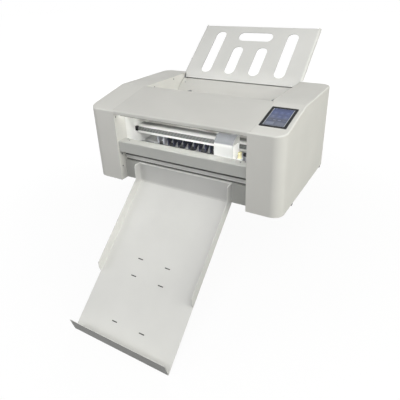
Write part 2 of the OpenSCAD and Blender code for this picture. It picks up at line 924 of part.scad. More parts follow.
module feed_tray() {
    flat_x = feed_span / 2 - feed_bend;
    flat_v = feed_len - feed_bend;
    color([0.84, 0.84, 0.82])
        on_feed() {
            difference() {
                // the flat and its two bent sides
                along_y(0, feed_len) {
                    block_2d([-flat_x, -sheet], [flat_x, 0]);
                    for (side = [0, 1])
                        mirror([side, 0])
                            translate([flat_x, 0])
                                bent_edge();
                }
                // room for the top edge, with a relief slot at each corner
                block([-flat_x, flat_v, -2 * sheet], [flat_x, feed_len + 1, sheet]);
                feed_corners();
                translate([0, 0, -2 * sheet])
                    linear_extrude(3 * sheet)
                        feed_slots();
            }
            // the bent top edge
            along_x(bend_gap - flat_x, flat_x - bend_gap)
                translate([flat_v, 0]) {
                    bent_edge();
                    block_2d([-feed_bend, -sheet], [0, 0]);
                }
            // ears that turn on the pins
            difference() {
                for (x = [-hinge_ear_x, hinge_ear_x - sheet])
                    along_x(x, x + sheet) {
                        translate([hinge_v, hinge_n])
                            circle(hinge_ear_r);
                        block_2d([hinge_v - hinge_ear_r, hinge_n], [hinge_v + hinge_ear_r, -sheet / 2]);
                    }
                rod_x(-feed_w, feed_w, hinge_v, hinge_n, hinge_r + run_fit);
                block([-feed_w, -hinge_ear_r, -3 * hinge_ear_r], [feed_w, 0, sheet]);
            }
        }
}

// The feed tray's five cut-outs
module feed_slots() {
    for (x = [-1, 1]) {
        slot([x * slot_long_x, slot_low], [x * slot_long_x, slot_long_top], slot_r);
        slot([x * slot_short_x, slot_low], [x * slot_short_x, slot_short_top], slot_r);
    }
    slot([-handle_x, handle_at], [handle_x, handle_at], handle_r);
}

module feed_tray_pins() {
    color([0.55, 0.56, 0.58])
        for (x = [hinge_ear_x - 2 * sheet, -frame_out])
            rod_x(x, x + frame_out - hinge_ear_x + 2 * sheet, hinge_yz[0], hinge_yz[1], hinge_r);
}

// The tray's side flange: a tall rounded ear, then a low edge along the floor with a cut-off end
module tray_flange() {
    top = tray_z + tray_back_h;
    ear_y = tray_y - tray_ear_d;
    low = tray_flange_h / cos(tray_angle);
    ear_foot = tray_z - tray_ear_d * tan(tray_angle) + low;
    difference() {
        polygon([[tray_y, tray_z], [tray_y, top], [ear_y, top], [ear_y, ear_foot],
            tray_yz(tray_flange_len - 20, tray_flange_h), tray_yz(tray_flange_len - 6, tray_flange_h / 2),
            tray_yz(tray_flange_len, 0)]);
        difference() {
            block_2d([ear_y - 1, top - ear_r], [ear_y + ear_r, top + 1]);
            translate([ear_y + ear_r, top - ear_r])
                circle(ear_r);
        }
    }
}

module output_tray() {
    top = tray_z + tray_back_h;
    floor_end = tray_yz(tray_len, 0);
    lip_end = polar(floor_end, tray_lip, tray_lip_angle);
    panel = front_y + lower_setback;
    color([0.83, 0.84, 0.83]) {
        difference() {
            along_x(-tray_x, tray_x) {
                strip([tray_y, top], [tray_y, tray_z], sheet);
                // the back plate's top is folded back over the lower panel
                block_2d([tray_y, top - sheet], [tray_y + tray_fold, top]);
                strip([tray_y, tray_z], floor_end, sheet);
                strip(floor_end, lip_end, sheet);
                translate([tray_y, tray_z])
                    circle(sheet);
                translate(floor_end)
                    circle(sheet);
            }
            on_tray()
                for (s = slit_rows, x = [-1, 1])
                    block([x * slit_x - slit_l / 2, -s - slit_w / 2, -3 * sheet],
                        [x * slit_x + slit_l / 2, -s + slit_w / 2, sheet]);
        }
        along_x(-tray_x, -tray_x + sheet)
            tray_flange();
        along_x(tray_x - sheet, tray_x)
            tray_flange();
        for (x = [-1, 1]) {
            x0 = x * hook_spacing / 2 - hook_w / 2;
            block([x0, tray_y, hook_z], [x0 + hook_w, panel + 2 * sheet + hook_gap, hook_z + sheet]);
            block([x0, panel + sheet + hook_gap, hook_z - hook_drop],
                [x0 + hook_w, panel + 2 * sheet + hook_gap, hook_z + sheet]);
        }
    }
}

module beam() {
    z1 = beam_h + beam_t;
    y1 = beam_y + beam_d;
    mid = beam_y + beam_d / 2 + 1;
    wall = 3;
    groove = 6;
    color([0.78, 0.79, 0.80])
        along_x(-beam_x, beam_x)
            difference() {
                block_2d([beam_y, beam_h], [y1, z1]);
                block_2d([beam_y - 1, rail_z - rail_h / 2 - groove_gap],
                    [beam_y + rail_in, rail_z + rail_h / 2 + groove_gap]);
                // two chambers, and the fixing groove in the back
                block_2d([beam_y + rail_in + wall, beam_h + wall], [mid, z1 - wall]);
                block_2d([mid + wall, beam_h + wall], [y1 - 2 * wall, z1 - wall]);
                block_2d([y1 - wall, beam_h + (beam_t - groove) / 2],
                    [y1 + 1, beam_h + (beam_t + groove) / 2]);
            }
}

module guide_rail() {
    color([0.56, 0.57, 0.59])
        along_x(-open_x + stop_w, open_x - stop_w)
            difference() {
                block_2d([beam_y - rail_out, rail_z - rail_h / 2], [beam_y + rail_in, rail_z + rail_h / 2]);
                for (z = [-1, 1])
                    translate([beam_y - rail_out / 2, rail_z + z * rail_h / 2])
                        rotate(45)
                            square(1.6, center = true);
            }
}

module beam_stops() {
    color([0.07, 0.07, 0.08])
        for (x = [-1, 1]) {
            x0 = x > 0 ? beam_x - stop_w : -beam_x;
            block([x0, beam_y - rail_out - 2, rail_z - rail_h / 2 - 2],
                [x0 + stop_w - slide_gap, beam_y, rail_z + rail_h / 2 + 2]);
        }
}

module bearing_block() {
    z0 = rail_z - rail_h / 2;
    z1 = rail_z + rail_h / 2;
    y1 = beam_y - slide_gap * 2;
    color([0.45, 0.46, 0.48])
        along_x(carriage_x - block_l / 2, carriage_x + block_l / 2) {
            block_2d([block_front, z0 - jaw_t], [block_front + block_t, z1 + jaw_t]);
            block_2d([block_front, z0 - jaw_t], [y1, z0 - slide_gap / 2]);
            block_2d([block_front, z1 + slide_gap / 2], [y1, z1 + jaw_t]);
        }
}

module carriage_plate() {
    x0 = carriage_x - carriage_w / 2 + cover_t + 0.2;
    x1 = carriage_x + carriage_w / 2 - cover_t - 0.2;
    color([0.70, 0.71, 0.72])
        difference() {
            union() {
                block([x0, car_plate_y, car_z], [x1, block_front, car_z + car_plate_h]);
                block([x0, car_plate_y, ear_z],
                    [carriage_x + blade_x + ear_w / 2, block_front, ear_z + ear_h]);
            }
            for (x = row(2, 30), z = row(2, 10))
                rod_y(car_plate_y - 1, block_front + 1, carriage_x + x, car_z + car_plate_h - 14 + z, 2);
        }
}

// Outline of the carriage cover in the Y-Z plane, taken in by a margin: a drum with a flat back
module cover_outline(margin, back) {
    r = cover_r - margin;
    intersection() {
        union() {
            translate([cover_cy, cover_cz])
                circle(r, $fn = 96);
            block_2d([cover_cy - r, car_z], [cover_cy, cover_cz]);
        }
        block_2d([cover_cy - 2 * r, car_z], [back, cover_cz + 2 * r]);
    }
}

module carriage_cover() {
    x0 = carriage_x - carriage_w / 2;
    x1 = carriage_x + carriage_w / 2;
    color([0.93, 0.93, 0.92])
        difference() {
            union() {
                along_x(x0, x1)
                    difference() {
                        cover_outline(0, cover_back);
                        cover_outline(cover_t, cover_back + 1);
                        block_2d([cover_front + cover_t, car_z - 1], [cover_back, car_z + cover_t]);
                        // room for the carriage plate
                        block_2d([car_plate_y - pass_gap, car_z], [block_front + pass_gap, cover_cz]);
                    }
                for (x = [x0, x1 - cover_t])
                    along_x(x, x + cover_t)
                        cover_outline(0, cover_back);
            }
            // room for the rail
            block([x0 - 1, beam_y - rail_out - rail_clear / 2, rail_z - rail_h / 2 - rail_clear / 2],
                [x1 + 1, beam_y, rail_z + rail_h / 2 + rail_clear / 2]);
            // window for the tool's ear
            block([x1 - 2 * cover_t, car_plate_y - 1, ear_z - 1],
                [x1 + 1, block_front + 1, ear_z + ear_h + 1]);
        }
}

module belt_clamp() {
    z_belt = belt_z + pulley_r + belt_gap;
    y0 = block_front;
    web = belt_y - belt_w / 2 - 4;
    back = belt_y + belt_w / 2 + 1.5;
    z0 = beam_h + beam_t + rail_clear + 1;
    color([0.30, 0.31, 0.33])
        along_x(carriage_x - clamp_x, carriage_x + clamp_x) {
            block_2d([y0, z0], [back, z_belt - jaw_gap]);
            block_2d([web, z0], [web + 3, z_belt + belt_t + jaw_gap + 4]);
            block_2d([web, z_belt + belt_t + jaw_gap], [back, z_belt + belt_t + jaw_gap + 4]);
        }
}

module tool_slide() {
    x = carriage_x + blade_x;
    y = front_y + blade_at;
    color([0.60, 0.61, 0.62])
        difference() {
            union() {
                block([x - tool_w / 2, tool_front, tool_z],
                    [x + tool_w / 2, car_plate_y - slide_gap, tool_z + tool_h]);
                // the cheek that carries the clamp knob
                block([x + tool_w / 2 - cheek_t, y - knob_r, tool_z],
                    [x + tool_w / 2, y + knob_r, tool_z + tool_h + cheek_h]);
            }
            translate([x, y, tool_z - 1])
                cylinder(r = holder_r + run_fit, h = tool_h + 2);
            // the split that the clamp knob closes
            block([x, y - 0.5, tool_z - 1], [x + tool_w, y + 0.5, tool_z + tool_h - 4]);
        }
}

module clamp_knob() {
    x = carriage_x + blade_x + tool_w / 2;
    y = front_y + blade_at;
    z = tool_z + tool_h + cheek_h - knob_r;
    color([0.08, 0.08, 0.09]) {
        difference() {
            rod_x(x + 2, x + 10, y, z, knob_r);
            for (a = [0 : 30 : 330])
                rod_x(x + 1, x + 11, y + (knob_r + 0.5) * cos(a), z + (knob_r + 0.5) * sin(a), 1);
        }
        rod_x(x, x + 3, y, z, 3);
    }
}

module blade_holder() {
    top = tool_z + tool_h;
    color([0.83, 0.66, 0.28])
        translate([carriage_x + blade_x, front_y + blade_at, 0])
            difference() {
                rotate_extrude()
                    polygon([[0, nose_z], [holder_r * 0.5, nose_z], [holder_r * 0.7, nose_z + 2],
                        [holder_r * 0.7, nose_z + 3], [holder_r, tool_z - 2], [holder_r, top],
                        [holder_r + 1.5, top + 0.5], [holder_r + 1.5, top + 6], [holder_r, top + 7],
                        [holder_r, top + 10], [holder_r + 1.5, top + 11], [holder_r + 1.5, top + cheek_h - 2],
                        [holder_r, top + cheek_h - 1], [0, top + cheek_h - 1]]);
                translate([0, 0, nose_z - 1])
                    cylinder(r = blade_r + run_fit, h = 21);
            }
}

module blade() {
    tip = nose_z - 1.5;
    color([0.75, 0.76, 0.78])
        translate([carriage_x + blade_x, front_y + blade_at, 0])
            difference() {
                translate([0, 0, tip])
                    cylinder(r = blade_r, h = 20);
                translate([0, 0, tip])
                    rotate([0, 45, 0])
                        translate([-4, -2, -4])
                            cube([8, 4, 4]);
            }
}

module carriage_belt() {
    r = pulley_r + belt_gap;
    color([0.06, 0.06, 0.06])
        along_y(belt_y - belt_w / 2, belt_y + belt_w / 2)
            difference() {
                slot([-pulley_x, belt_z], [pulley_x, belt_z], r + belt_t);
                slot([-pulley_x, belt_z], [pulley_x, belt_z], r);
            }
}

// A toothed pulley between two flanges, about Y, at the middle of the belt
module belt_pulley() {
    w = belt_w / 2 + 0.5;
    rod_y(-w, w, 0, 0, pulley_r);
    for (y = [-w - 1, w])
        rod_y(y, y + 1, 0, 0, pulley_r + belt_t + 0.5);
}

module drive_pulley() {
    color([0.68, 0.69, 0.71])
        translate([pulley_x, belt_y, belt_z]) {
            belt_pulley();
            rod_y(-belt_w / 2 - 2, bracket_y - belt_y + bracket_t + motor_l / 2, 0, 0, motor_shaft_r);
        }
}

module idler_pulley() {
    color([0.68, 0.69, 0.71])
        translate([-pulley_x, belt_y, belt_z])
            difference() {
                belt_pulley();
                rod_y(-belt_w, belt_w, 0, 0, idler_r + run_fit);
            }
}

module idler_pin() {
    color([0.55, 0.56, 0.58])
        rod_y(belt_y - belt_w / 2 - 3, bracket_y + bracket_t, -pulley_x, belt_z, idler_r);
}

// An angle bracket on the outside of the right frame, square to the belt, with one bore
module pulley_bracket(bore) {
    z0 = belt_z - motor_size / 2;
    difference() {
        union() {
            block([frame_out, bracket_y, z0],
                [pulley_x + motor_size / 2, bracket_y + bracket_t, z0 + motor_size]);
            block([frame_out, bracket_y, z0 - 14], [frame_out + bracket_t, bracket_y + 24, z0 + motor_size]);
        }
        rod_y(bracket_y - 1, bracket_y + bracket_t + 1, pulley_x, belt_z, bore);
        for (z = [z0 - 7, z0 + motor_size - 7])
            rod_x(frame_out - 1, frame_out + bracket_t + 1, bracket_y + 14, z, 2);
    }
}

module idler_bracket() {
    color([0.70, 0.71, 0.72])
        mirror([1, 0, 0])
            pulley_bracket(idler_r + run_fit);
}

module carriage_motor_bracket() {
    color([0.70, 0.71, 0.72])
        pulley_bracket(motor_boss_r + run_fit);
}

// A square stepper motor along Z: steel caps, a laminated body and a front boss, with a bored shaft hole
module stepper(size) {
    cap = 8;
    difference() {
        union() {
            linear_extrude(cap)
                round_rect(size, size, 3);
            translate([0, 0, cap])
                linear_extrude(motor_l - 2 * cap)
                    round_rect(size - 1, size - 1, 6);
            translate([0, 0, motor_l - cap])
                linear_extrude(cap)
                    round_rect(size, size, 3);
            translate([0, 0, motor_l])
                cylinder(r = motor_boss_r, h = 2);
        }
        translate([0, 0, cap])
            cylinder(r = motor_shaft_r + run_fit, h = motor_l);
    }
}

module carriage_motor() {
    color([0.18, 0.18, 0.19])
        translate([pulley_x, bracket_y + bracket_t + motor_l, belt_z])
            rotate([90, 0, 0])
                stepper(motor_size - 2);
}

module drive_roller() {
    color([0.42, 0.43, 0.44]) {
        rod_x(-barrel_x, barrel_x, roller_y, roller_z, core_r);
        for (x = row(pinch_count, pinch_pitch))
            rod_x(x - pinch_len / 2 - 3, x + pinch_len / 2 + 3, roller_y, roller_z, roller_r);
        rod_x(-frame_out - 4, side_belt_x + side_belt_w + 4, roller_y, roller_z, journal_r);
    }
}

module roller_bushings() {
    color([0.72, 0.58, 0.30])
        for (x = [-1, 1])
            mirror([x < 0 ? 1 : 0, 0, 0])
                difference() {
                    union() {
                        rod_x(frame_in - 1, frame_out + 1, roller_y, roller_z, bushing_r);
                        rod_x(frame_out, frame_out + 1.5, roller_y, roller_z, bushing_r + bushing_flange);
                    }
                    rod_x(frame_in - 2, frame_out + 3, roller_y, roller_z, journal_r + run_fit);
                }
}

// A side pulley about X with two flanges
module side_pulley(r) {
    rod_x(side_belt_x, side_belt_x + side_belt_w, 0, 0, r);
    for (x = [side_belt_x - 1, side_belt_x + side_belt_w])
        rod_x(x, x + 1, 0, 0, r + pulley_flange);
}

module roller_pulley() {
    color([0.68, 0.69, 0.71])
        translate([0, roller_y, roller_z])
            difference() {
                side_pulley(roller_pulley_r);
                rod_x(side_belt_x - 2, side_belt_x + side_belt_w + 2, 0, 0, journal_r + run_fit);
            }
}

module feed_motor() {
    color([0.18, 0.18, 0.19])
        translate([inner_x - motor_l, feed_motor_y, feed_motor_z])
            rotate([0, 90, 0])
                stepper(motor_size);
}

module feed_motor_pulley() {
    color([0.68, 0.69, 0.71])
        translate([0, feed_motor_y, feed_motor_z]) {
            side_pulley(feed_pulley_r);
            rod_x(inner_x - motor_l / 2, side_belt_x + side_belt_w + 2, 0, 0, motor_shaft_r);
        }
}

module feed_belt() {
    a = [roller_y, roller_z];
    b = [feed_motor_y, feed_motor_z];
    color([0.06, 0.06, 0.06])
        difference() {
            belt_space(side_belt_x + 0.5, side_belt_x + side_belt_w - 0.5, a,
                roller_pulley_r + belt_gap + belt_t, b, feed_pulley_r + belt_gap + belt_t);
            belt_space(side_belt_x, side_belt_x + side_belt_w, a,
                roller_pulley_r + belt_gap, b, feed_pulley_r + belt_gap);
        }
}

module pinch_bar() {
    color([0.62, 0.63, 0.64])
        block([-beam_x, bar_y, bar_z], [beam_x, bar_y + bar_d, bar_z + bar_t]);
}

// A dark moulded holder: two cheeks beside the roller, joined by a ribbed arm to the bar
module pinch_holder() {
    top = beam_h - 3;
    back = bar_y;
    cheek = [[roller_y - pinch_r, pinch_z - 3], [roller_y - pinch_r - 1, pinch_z + 5],
        [roller_y - 8, top - 8], [roller_y + 2, top], [back, top], [back, bar_z + 3],
        [roller_y + pinch_r + 2, pinch_z + 2],
        [roller_y + pinch_r - 1, pinch_z - 3]];
    difference() {
        union() {
            for (x = [-holder_w / 2, holder_w / 2 - holder_cheek])
                along_x(x, x + holder_cheek)
                    polygon(cheek);
            along_x(-holder_w / 2, holder_w / 2)
                polygon([[roller_y - 3, top - 4], [roller_y + 2, top], [back, top], [back, bar_z + 3],
                    [back - 6, bar_z + 5], [back - 6, top - 5]]);
        }
        rod_x(-holder_w, holder_w, roller_y, pinch_z, pinch_pin_r + run_fit);
    }
}

module pinch_holders() {
    color([0.08, 0.09, 0.14])
        for (x = row(pinch_count, pinch_pitch))
            translate([x, 0, 0])
                pinch_holder();
}

module pinch_axles() {
    color([0.70, 0.71, 0.73])
        for (x = row(pinch_count, pinch_pitch))
            rod_x(x - holder_w / 2, x + holder_w / 2, roller_y, pinch_z, pinch_pin_r);
}

module pinch_rollers() {
    color([0.13, 0.13, 0.14])
        for (x = row(pinch_count, pinch_pitch))
            difference() {
                rod_x(x - pinch_len / 2, x + pinch_len / 2, roller_y, pinch_z, pinch_r);
                rod_x(x - pinch_len, x + pinch_len, roller_y, pinch_z, pinch_pin_r + run_fit);
            }
}

module pick_shaft() {
    color([0.70, 0.71, 0.73])
        rod_x(-frame_out - motor_l / 2, frame_out + 2, pick_yz[0], pick_yz[1], pick_r);
}

module pick_tyres() {
    color([0.16, 0.16, 0.17])
        for (x = row(3, tyre_pitch))
            difference() {
                rod_x(x - tyre_w / 2, x + tyre_w / 2, pick_yz[0], pick_yz[1], tyre_r);
                rod_x(x - tyre_w, x + tyre_w, pick_yz[0], pick_yz[1], pick_r + run_fit);
                for (g = row(4, tyre_w / 4))
                    difference() {
                        rod_x(x + g - 0.6, x + g + 0.6, pick_yz[0], pick_yz[1], tyre_r + 1);
                        rod_x(x + g - 1, x + g + 1, pick_yz[0], pick_yz[1], tyre_r - 0.8);
                    }
            }
}

module pick_bushings() {
    color([0.72, 0.58, 0.30])
        for (x = [-1, 1])
            mirror([x < 0 ? 1 : 0, 0, 0])
                difference() {
                    union() {
                        rod_x(frame_in, frame_out, pick_yz[0], pick_yz[1], pick_r + 3);
                        rod_x(frame_in - 1.5, frame_in, pick_yz[0], pick_yz[1], pick_r + 5);
                    }
                    rod_x(frame_in - 3, frame_out + 3, pick_yz[0], pick_yz[1], pick_r + run_fit);
                }
}

module pick_motor() {
    cap = 8;
    color([0.18, 0.18, 0.19])
        difference() {
            along_x(-frame_out - motor_l, -frame_out)
                translate(pick_yz)
                    round_rect(motor_size, motor_size, 3);
            rod_x(-frame_out - motor_l + cap, -frame_out + 1, pick_yz[0], pick_yz[1], pick_r + run_fit);
        }
}

// The control board: a board on four pillars with its main parts
module control_board() {
    y0 = front_y + board_at;
    x0 = -frame_out - board_gap - board_t;
    chip = board_w / 5;
    plug = board_w / 10;
    color([0.10, 0.36, 0.20]) {
        block([x0, y0, board_z], [x0 + board_t, y0 + board_w, board_z + board_w]);
        for (y = [board_edge, board_w - board_edge], z = [board_edge, board_w - board_edge])
            rod_x(-frame_out - board_gap, -frame_out, y0 + y, board_z + z, pillar_r);
        // the processor, a plug and four capacitors
        block([x0 - 2 * board_t, y0 + chip, board_z + 2 * chip], [x0, y0 + 2 * chip, board_z + 3 * chip]);
        block([x0 - plug, y0 + plug, board_z + 7 * plug], [x0, y0 + 2 * plug, board_z + 9 * plug]);
        for (i = [0 : 3])
            rod_x(x0 - plug, x0, y0 + 3 * chip + plug * (i % 2 + 1) * 1.2, board_z + plug * (i + 2) * 1.2,
                plug * 0.45);
    }
}

module power_supply() {
    color([0.66, 0.67, 0.68])
        difference() {
            block([-supply_w / 2, supply_y, sheet], [supply_w / 2, supply_y + supply_d, sheet + supply_h]);
            for (x = row(12, 13), y = row(2, 40))
                translate([x, supply_y + supply_d / 2 + y, supply_h - 2])
                    linear_extrude(10)
                        slot([0, -14], [0, 14], 2);
        }
}

module screen_bezel() {
    color([0.05, 0.05, 0.06])
        on_slope()
            translate([screen_x, screen_at, 0])
                difference() {
                    union() {
                        translate([0, 0, merge])
                            linear_extrude(bezel_t)
                                round_rect(screen_w, screen_l, 2);
                        translate([0, 0, -bezel_depth])
                            linear_extrude(bezel_depth + bezel_t / 2)
                                square([screen_w, screen_l] - [2, 2] * bezel_fit, center = true);
                    }
                    translate([0, 0, -bezel_depth + 3])
                        linear_extrude(2 * bezel_depth)
                            square([screen_w, screen_l] - [2, 2] * screen_margin, center = true);
                }
}

module display() {
    color([0.30, 0.42, 0.68])
        on_slope()
            translate([screen_x, screen_at, -bezel_depth + 3])
                linear_extrude(bezel_depth - 3 + bezel_t / 2)
                    square([screen_w, screen_l] - [1, 1] * (2 * screen_margin + slide_gap), center = true);
}

module power_inlet() {
    color([0.07, 0.07, 0.07])
        translate([inlet_x, 0, socket_row])
            difference() {
                union() {
                    along_y(back_y - socket_depth, back_y)
                        square([inlet_w, inlet_h], center = true);
                    along_y(back_y, back_y + socket_proud)
                        round_rect(inlet_w + 2 * socket_rim, inlet_h + 2 * socket_rim, 2);
                }
                along_y(back_y - socket_depth + 4, back_y + socket_proud + 1)
                    polygon([[-11, -7], [11, -7], [11, 3], [7, 7], [-7, 7], [-11, 3]]);
            }
}

module switch_frame() {
    color([0.07, 0.07, 0.07])
        translate([switch_x, 0, socket_row])
            difference() {
                union() {
                    along_y(back_y - socket_depth, back_y)
                        square([switch_w + 2 * socket_rim, switch_h + 2 * socket_rim], center = true);
                    along_y(back_y, back_y + socket_proud)
                        round_rect(switch_w + 3 * socket_rim, switch_h + 3 * socket_rim, 2);
                }
                along_y(back_y - socket_depth + 3, back_y + socket_proud + 1)
                    square([switch_w + 1, switch_h + 3], center = true);
                rod_x(-switch_w / 2 - 2, switch_w / 2 + 2, back_y - 6, 0, 2 + run_fit);
            }
}

// The rocker turns about X on two stub pins and rests with its upper half pressed in
module power_switch() {
    color([0.10, 0.10, 0.10])
        translate([switch_x, back_y - 6, socket_row])
            rotate([switch_tilt, 0, 0]) {
                along_x(-switch_w / 2, switch_w / 2)
                    polygon([[-6, -4], [-6, 4], [5 + switch_h / 2 * tan(switch_tilt), switch_h / 2],
                        [5, 0], [5 + switch_h / 2 * tan(switch_tilt), -switch_h / 2]]);
                rod_x(-switch_w / 2 - 1.5, switch_w / 2 + 1.5, 0, 0, 2);
            }
}

module usb_port() {
    wall = 0.8;
    color([0.75, 0.76, 0.78])
        translate([usb_x, 0, socket_row])
            difference() {
                along_y(back_y - socket_depth, back_y + 0.5)
                    square([usb_w, usb_h], center = true);
                along_y(back_y - socket_depth + 3, back_y + 1)
                    difference() {
                        square([usb_w - 2 * wall, usb_h - 2 * wall], center = true);
                        square([usb_w / 2, usb_h / 3], center = true);
                    }
            }
}

base_plate();
left_side_frame();
right_side_frame();
left_housing();
right_housing();
top_cover();
rear_cover();
upper_front_panel();
exit_guide();
lower_front_panel();
feet();
front_bed();
cutting_strip();
rear_bed();
feed_plate();
left_paper_guide();
right_paper_guide();
feed_tray();
feed_tray_pins();
output_tray();
beam();
guide_rail();
beam_stops();
bearing_block();
carriage_plate();
carriage_cover();
belt_clamp();
tool_slide();
clamp_knob();
blade_holder();
blade();
carriage_belt();
drive_pulley();
idler_pulley();
idler_bracket();
idler_pin();
carriage_motor_bracket();
carriage_motor();
drive_roller();
roller_bushings();
roller_pulley();
feed_motor();
feed_motor_pulley();
feed_belt();
pinch_bar();
pinch_holders();
pinch_axles();
pinch_rollers();
pick_shaft();
pick_tyres();
pick_bushings();
pick_motor();
control_board();
power_supply();
screen_bezel();
display();
power_inlet();
switch_frame();
power_switch();
usb_port();
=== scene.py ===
import math

import bmesh
import bpy
from mathutils import Matrix, Vector


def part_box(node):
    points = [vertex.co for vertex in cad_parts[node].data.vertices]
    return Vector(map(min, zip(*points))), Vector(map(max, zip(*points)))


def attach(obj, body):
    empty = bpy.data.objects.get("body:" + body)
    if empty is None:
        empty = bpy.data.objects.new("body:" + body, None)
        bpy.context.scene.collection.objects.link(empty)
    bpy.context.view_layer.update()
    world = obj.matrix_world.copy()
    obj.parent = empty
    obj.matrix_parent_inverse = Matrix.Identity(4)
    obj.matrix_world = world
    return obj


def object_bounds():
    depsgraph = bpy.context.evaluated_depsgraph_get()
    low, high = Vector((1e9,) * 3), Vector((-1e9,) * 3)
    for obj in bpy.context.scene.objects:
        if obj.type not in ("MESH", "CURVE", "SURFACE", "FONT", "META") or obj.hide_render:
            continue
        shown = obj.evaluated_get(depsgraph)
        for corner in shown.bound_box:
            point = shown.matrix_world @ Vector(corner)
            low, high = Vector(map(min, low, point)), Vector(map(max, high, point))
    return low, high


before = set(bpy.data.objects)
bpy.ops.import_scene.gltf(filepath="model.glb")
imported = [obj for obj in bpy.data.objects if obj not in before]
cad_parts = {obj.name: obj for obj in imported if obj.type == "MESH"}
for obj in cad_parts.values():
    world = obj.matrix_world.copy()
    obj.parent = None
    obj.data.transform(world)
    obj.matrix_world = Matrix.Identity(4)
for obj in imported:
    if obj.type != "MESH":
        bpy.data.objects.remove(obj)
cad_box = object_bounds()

# Lengths are in millimetres in the frame's axes: X to the right, Y to the back, Z up.
# Materials, lamps and the floor are in metres.
MM = 0.001

FRONT_Y, BACK_Y = -227.5, 227.5             # the casing's front and back
FRONT_H, TOP_H, SLOPE_RUN = 241.0, 281.0, 173.0
SLOPE = math.atan((TOP_H - FRONT_H) / SLOPE_RUN)
OPEN_X = 229.5                              # half the clear width between the end housings
FRAME_X = 231.0                             # the side frames' inner faces
LEDGE_Z = 139.0                             # the top of the front panel's ledge
FEED_ANGLE, TRAY_ANGLE = math.radians(39.4), math.radians(41.8)
FEED_FLAT_X, FEED_BEND = 229.0, 8.0         # where the feed tray's side bends start, their radius


def yf(distance):
    """Y of a point at a distance behind the casing's front."""
    return FRONT_Y + distance


def sloped_frame(origin, angle):
    """Matrix from a slope's own millimetres (Y up the slope, Z square to it) to metres."""
    turn = Matrix.Rotation(angle, 4, "X")
    return Matrix.Translation(Vector(origin) * MM) @ turn @ Matrix.Scale(MM, 4)


IN_MM = Matrix.Scale(MM, 4)
ON_SLOPE = sloped_frame((0.0, FRONT_Y, FRONT_H), SLOPE)
ON_FEED = sloped_frame((0.0, yf(413.7), 268.3), FEED_ANGLE)
ON_TRAY = sloped_frame((0.0, yf(28.5), -1.0), TRAY_ANGLE)


# Camera: fitted to the photograph's edges, with its focal length and centre in pixels

CAM_POS = (625.4, -1118.1, 587.1)
CAM_AZ, CAM_EL, CAM_ROLL = 29.72, 26.36, 1.38
FOCAL_PX, CENTRE_PX, IMAGE_PX = 390.96, (210.61, 179.24), 400.0
SENSOR_WIDTH = 36.0
CLIP_START, CLIP_END = 0.01, 100.0


def make_camera():
    az, el, roll = (math.radians(v) for v in (CAM_AZ, CAM_EL, CAM_ROLL))
    back = Vector((math.sin(az) * math.cos(el), -math.cos(az) * math.cos(el), math.sin(el)))
    level = Vector((0, 0, 1)).cross(back).normalized()
    above = back.cross(level)
    right = level * math.cos(roll) - above * math.sin(roll)
    up = above * math.cos(roll) + level * math.sin(roll)
    turn = Matrix((right, up, back)).transposed().to_4x4()
    data = bpy.data.cameras.new("camera")
    cam = bpy.data.objects.new("camera", data)
    bpy.context.scene.collection.objects.link(cam)
    cam.matrix_world = Matrix.Translation(Vector(CAM_POS) * MM) @ turn
    data.sensor_width = SENSOR_WIDTH
    data.lens = FOCAL_PX / IMAGE_PX * SENSOR_WIDTH
    data.shift_x = (IMAGE_PX / 2 - CENTRE_PX[0]) / IMAGE_PX
    data.shift_y = (CENTRE_PX[1] - IMAGE_PX / 2) / IMAGE_PX
    data.clip_start, data.clip_end = CLIP_START, CLIP_END
    bpy.context.scene.camera = cam


# Materials

FINE, FINER, SOFT, COARSE = 0.00003, 0.00002, 0.00004, 0.0004   # depths of the bump patterns
LINES = {"x": (4, 420, 420), "y": (420, 4, 420), "z": (420, 420, 4)}    # stretch of drawn metal
LINES_SCALE, LINES_DETAIL = 2.2, 4.0
MIX_FACTOR, MIX_A, MIX_B, MIX_RESULT = 0, 6, 7, 2   # the sockets of a Mix node for colours
LOOKS_DOWN = (-0.1, -0.3)                   # a normal's Z where the painted shade on faces that look down starts and is full
EDGE_ON = 0.3                               # cosine to a sheet's normal, less on its cut edges with painted shade


def shade(colour, factor):
    return tuple(min(1.0, c * factor) for c in colour)


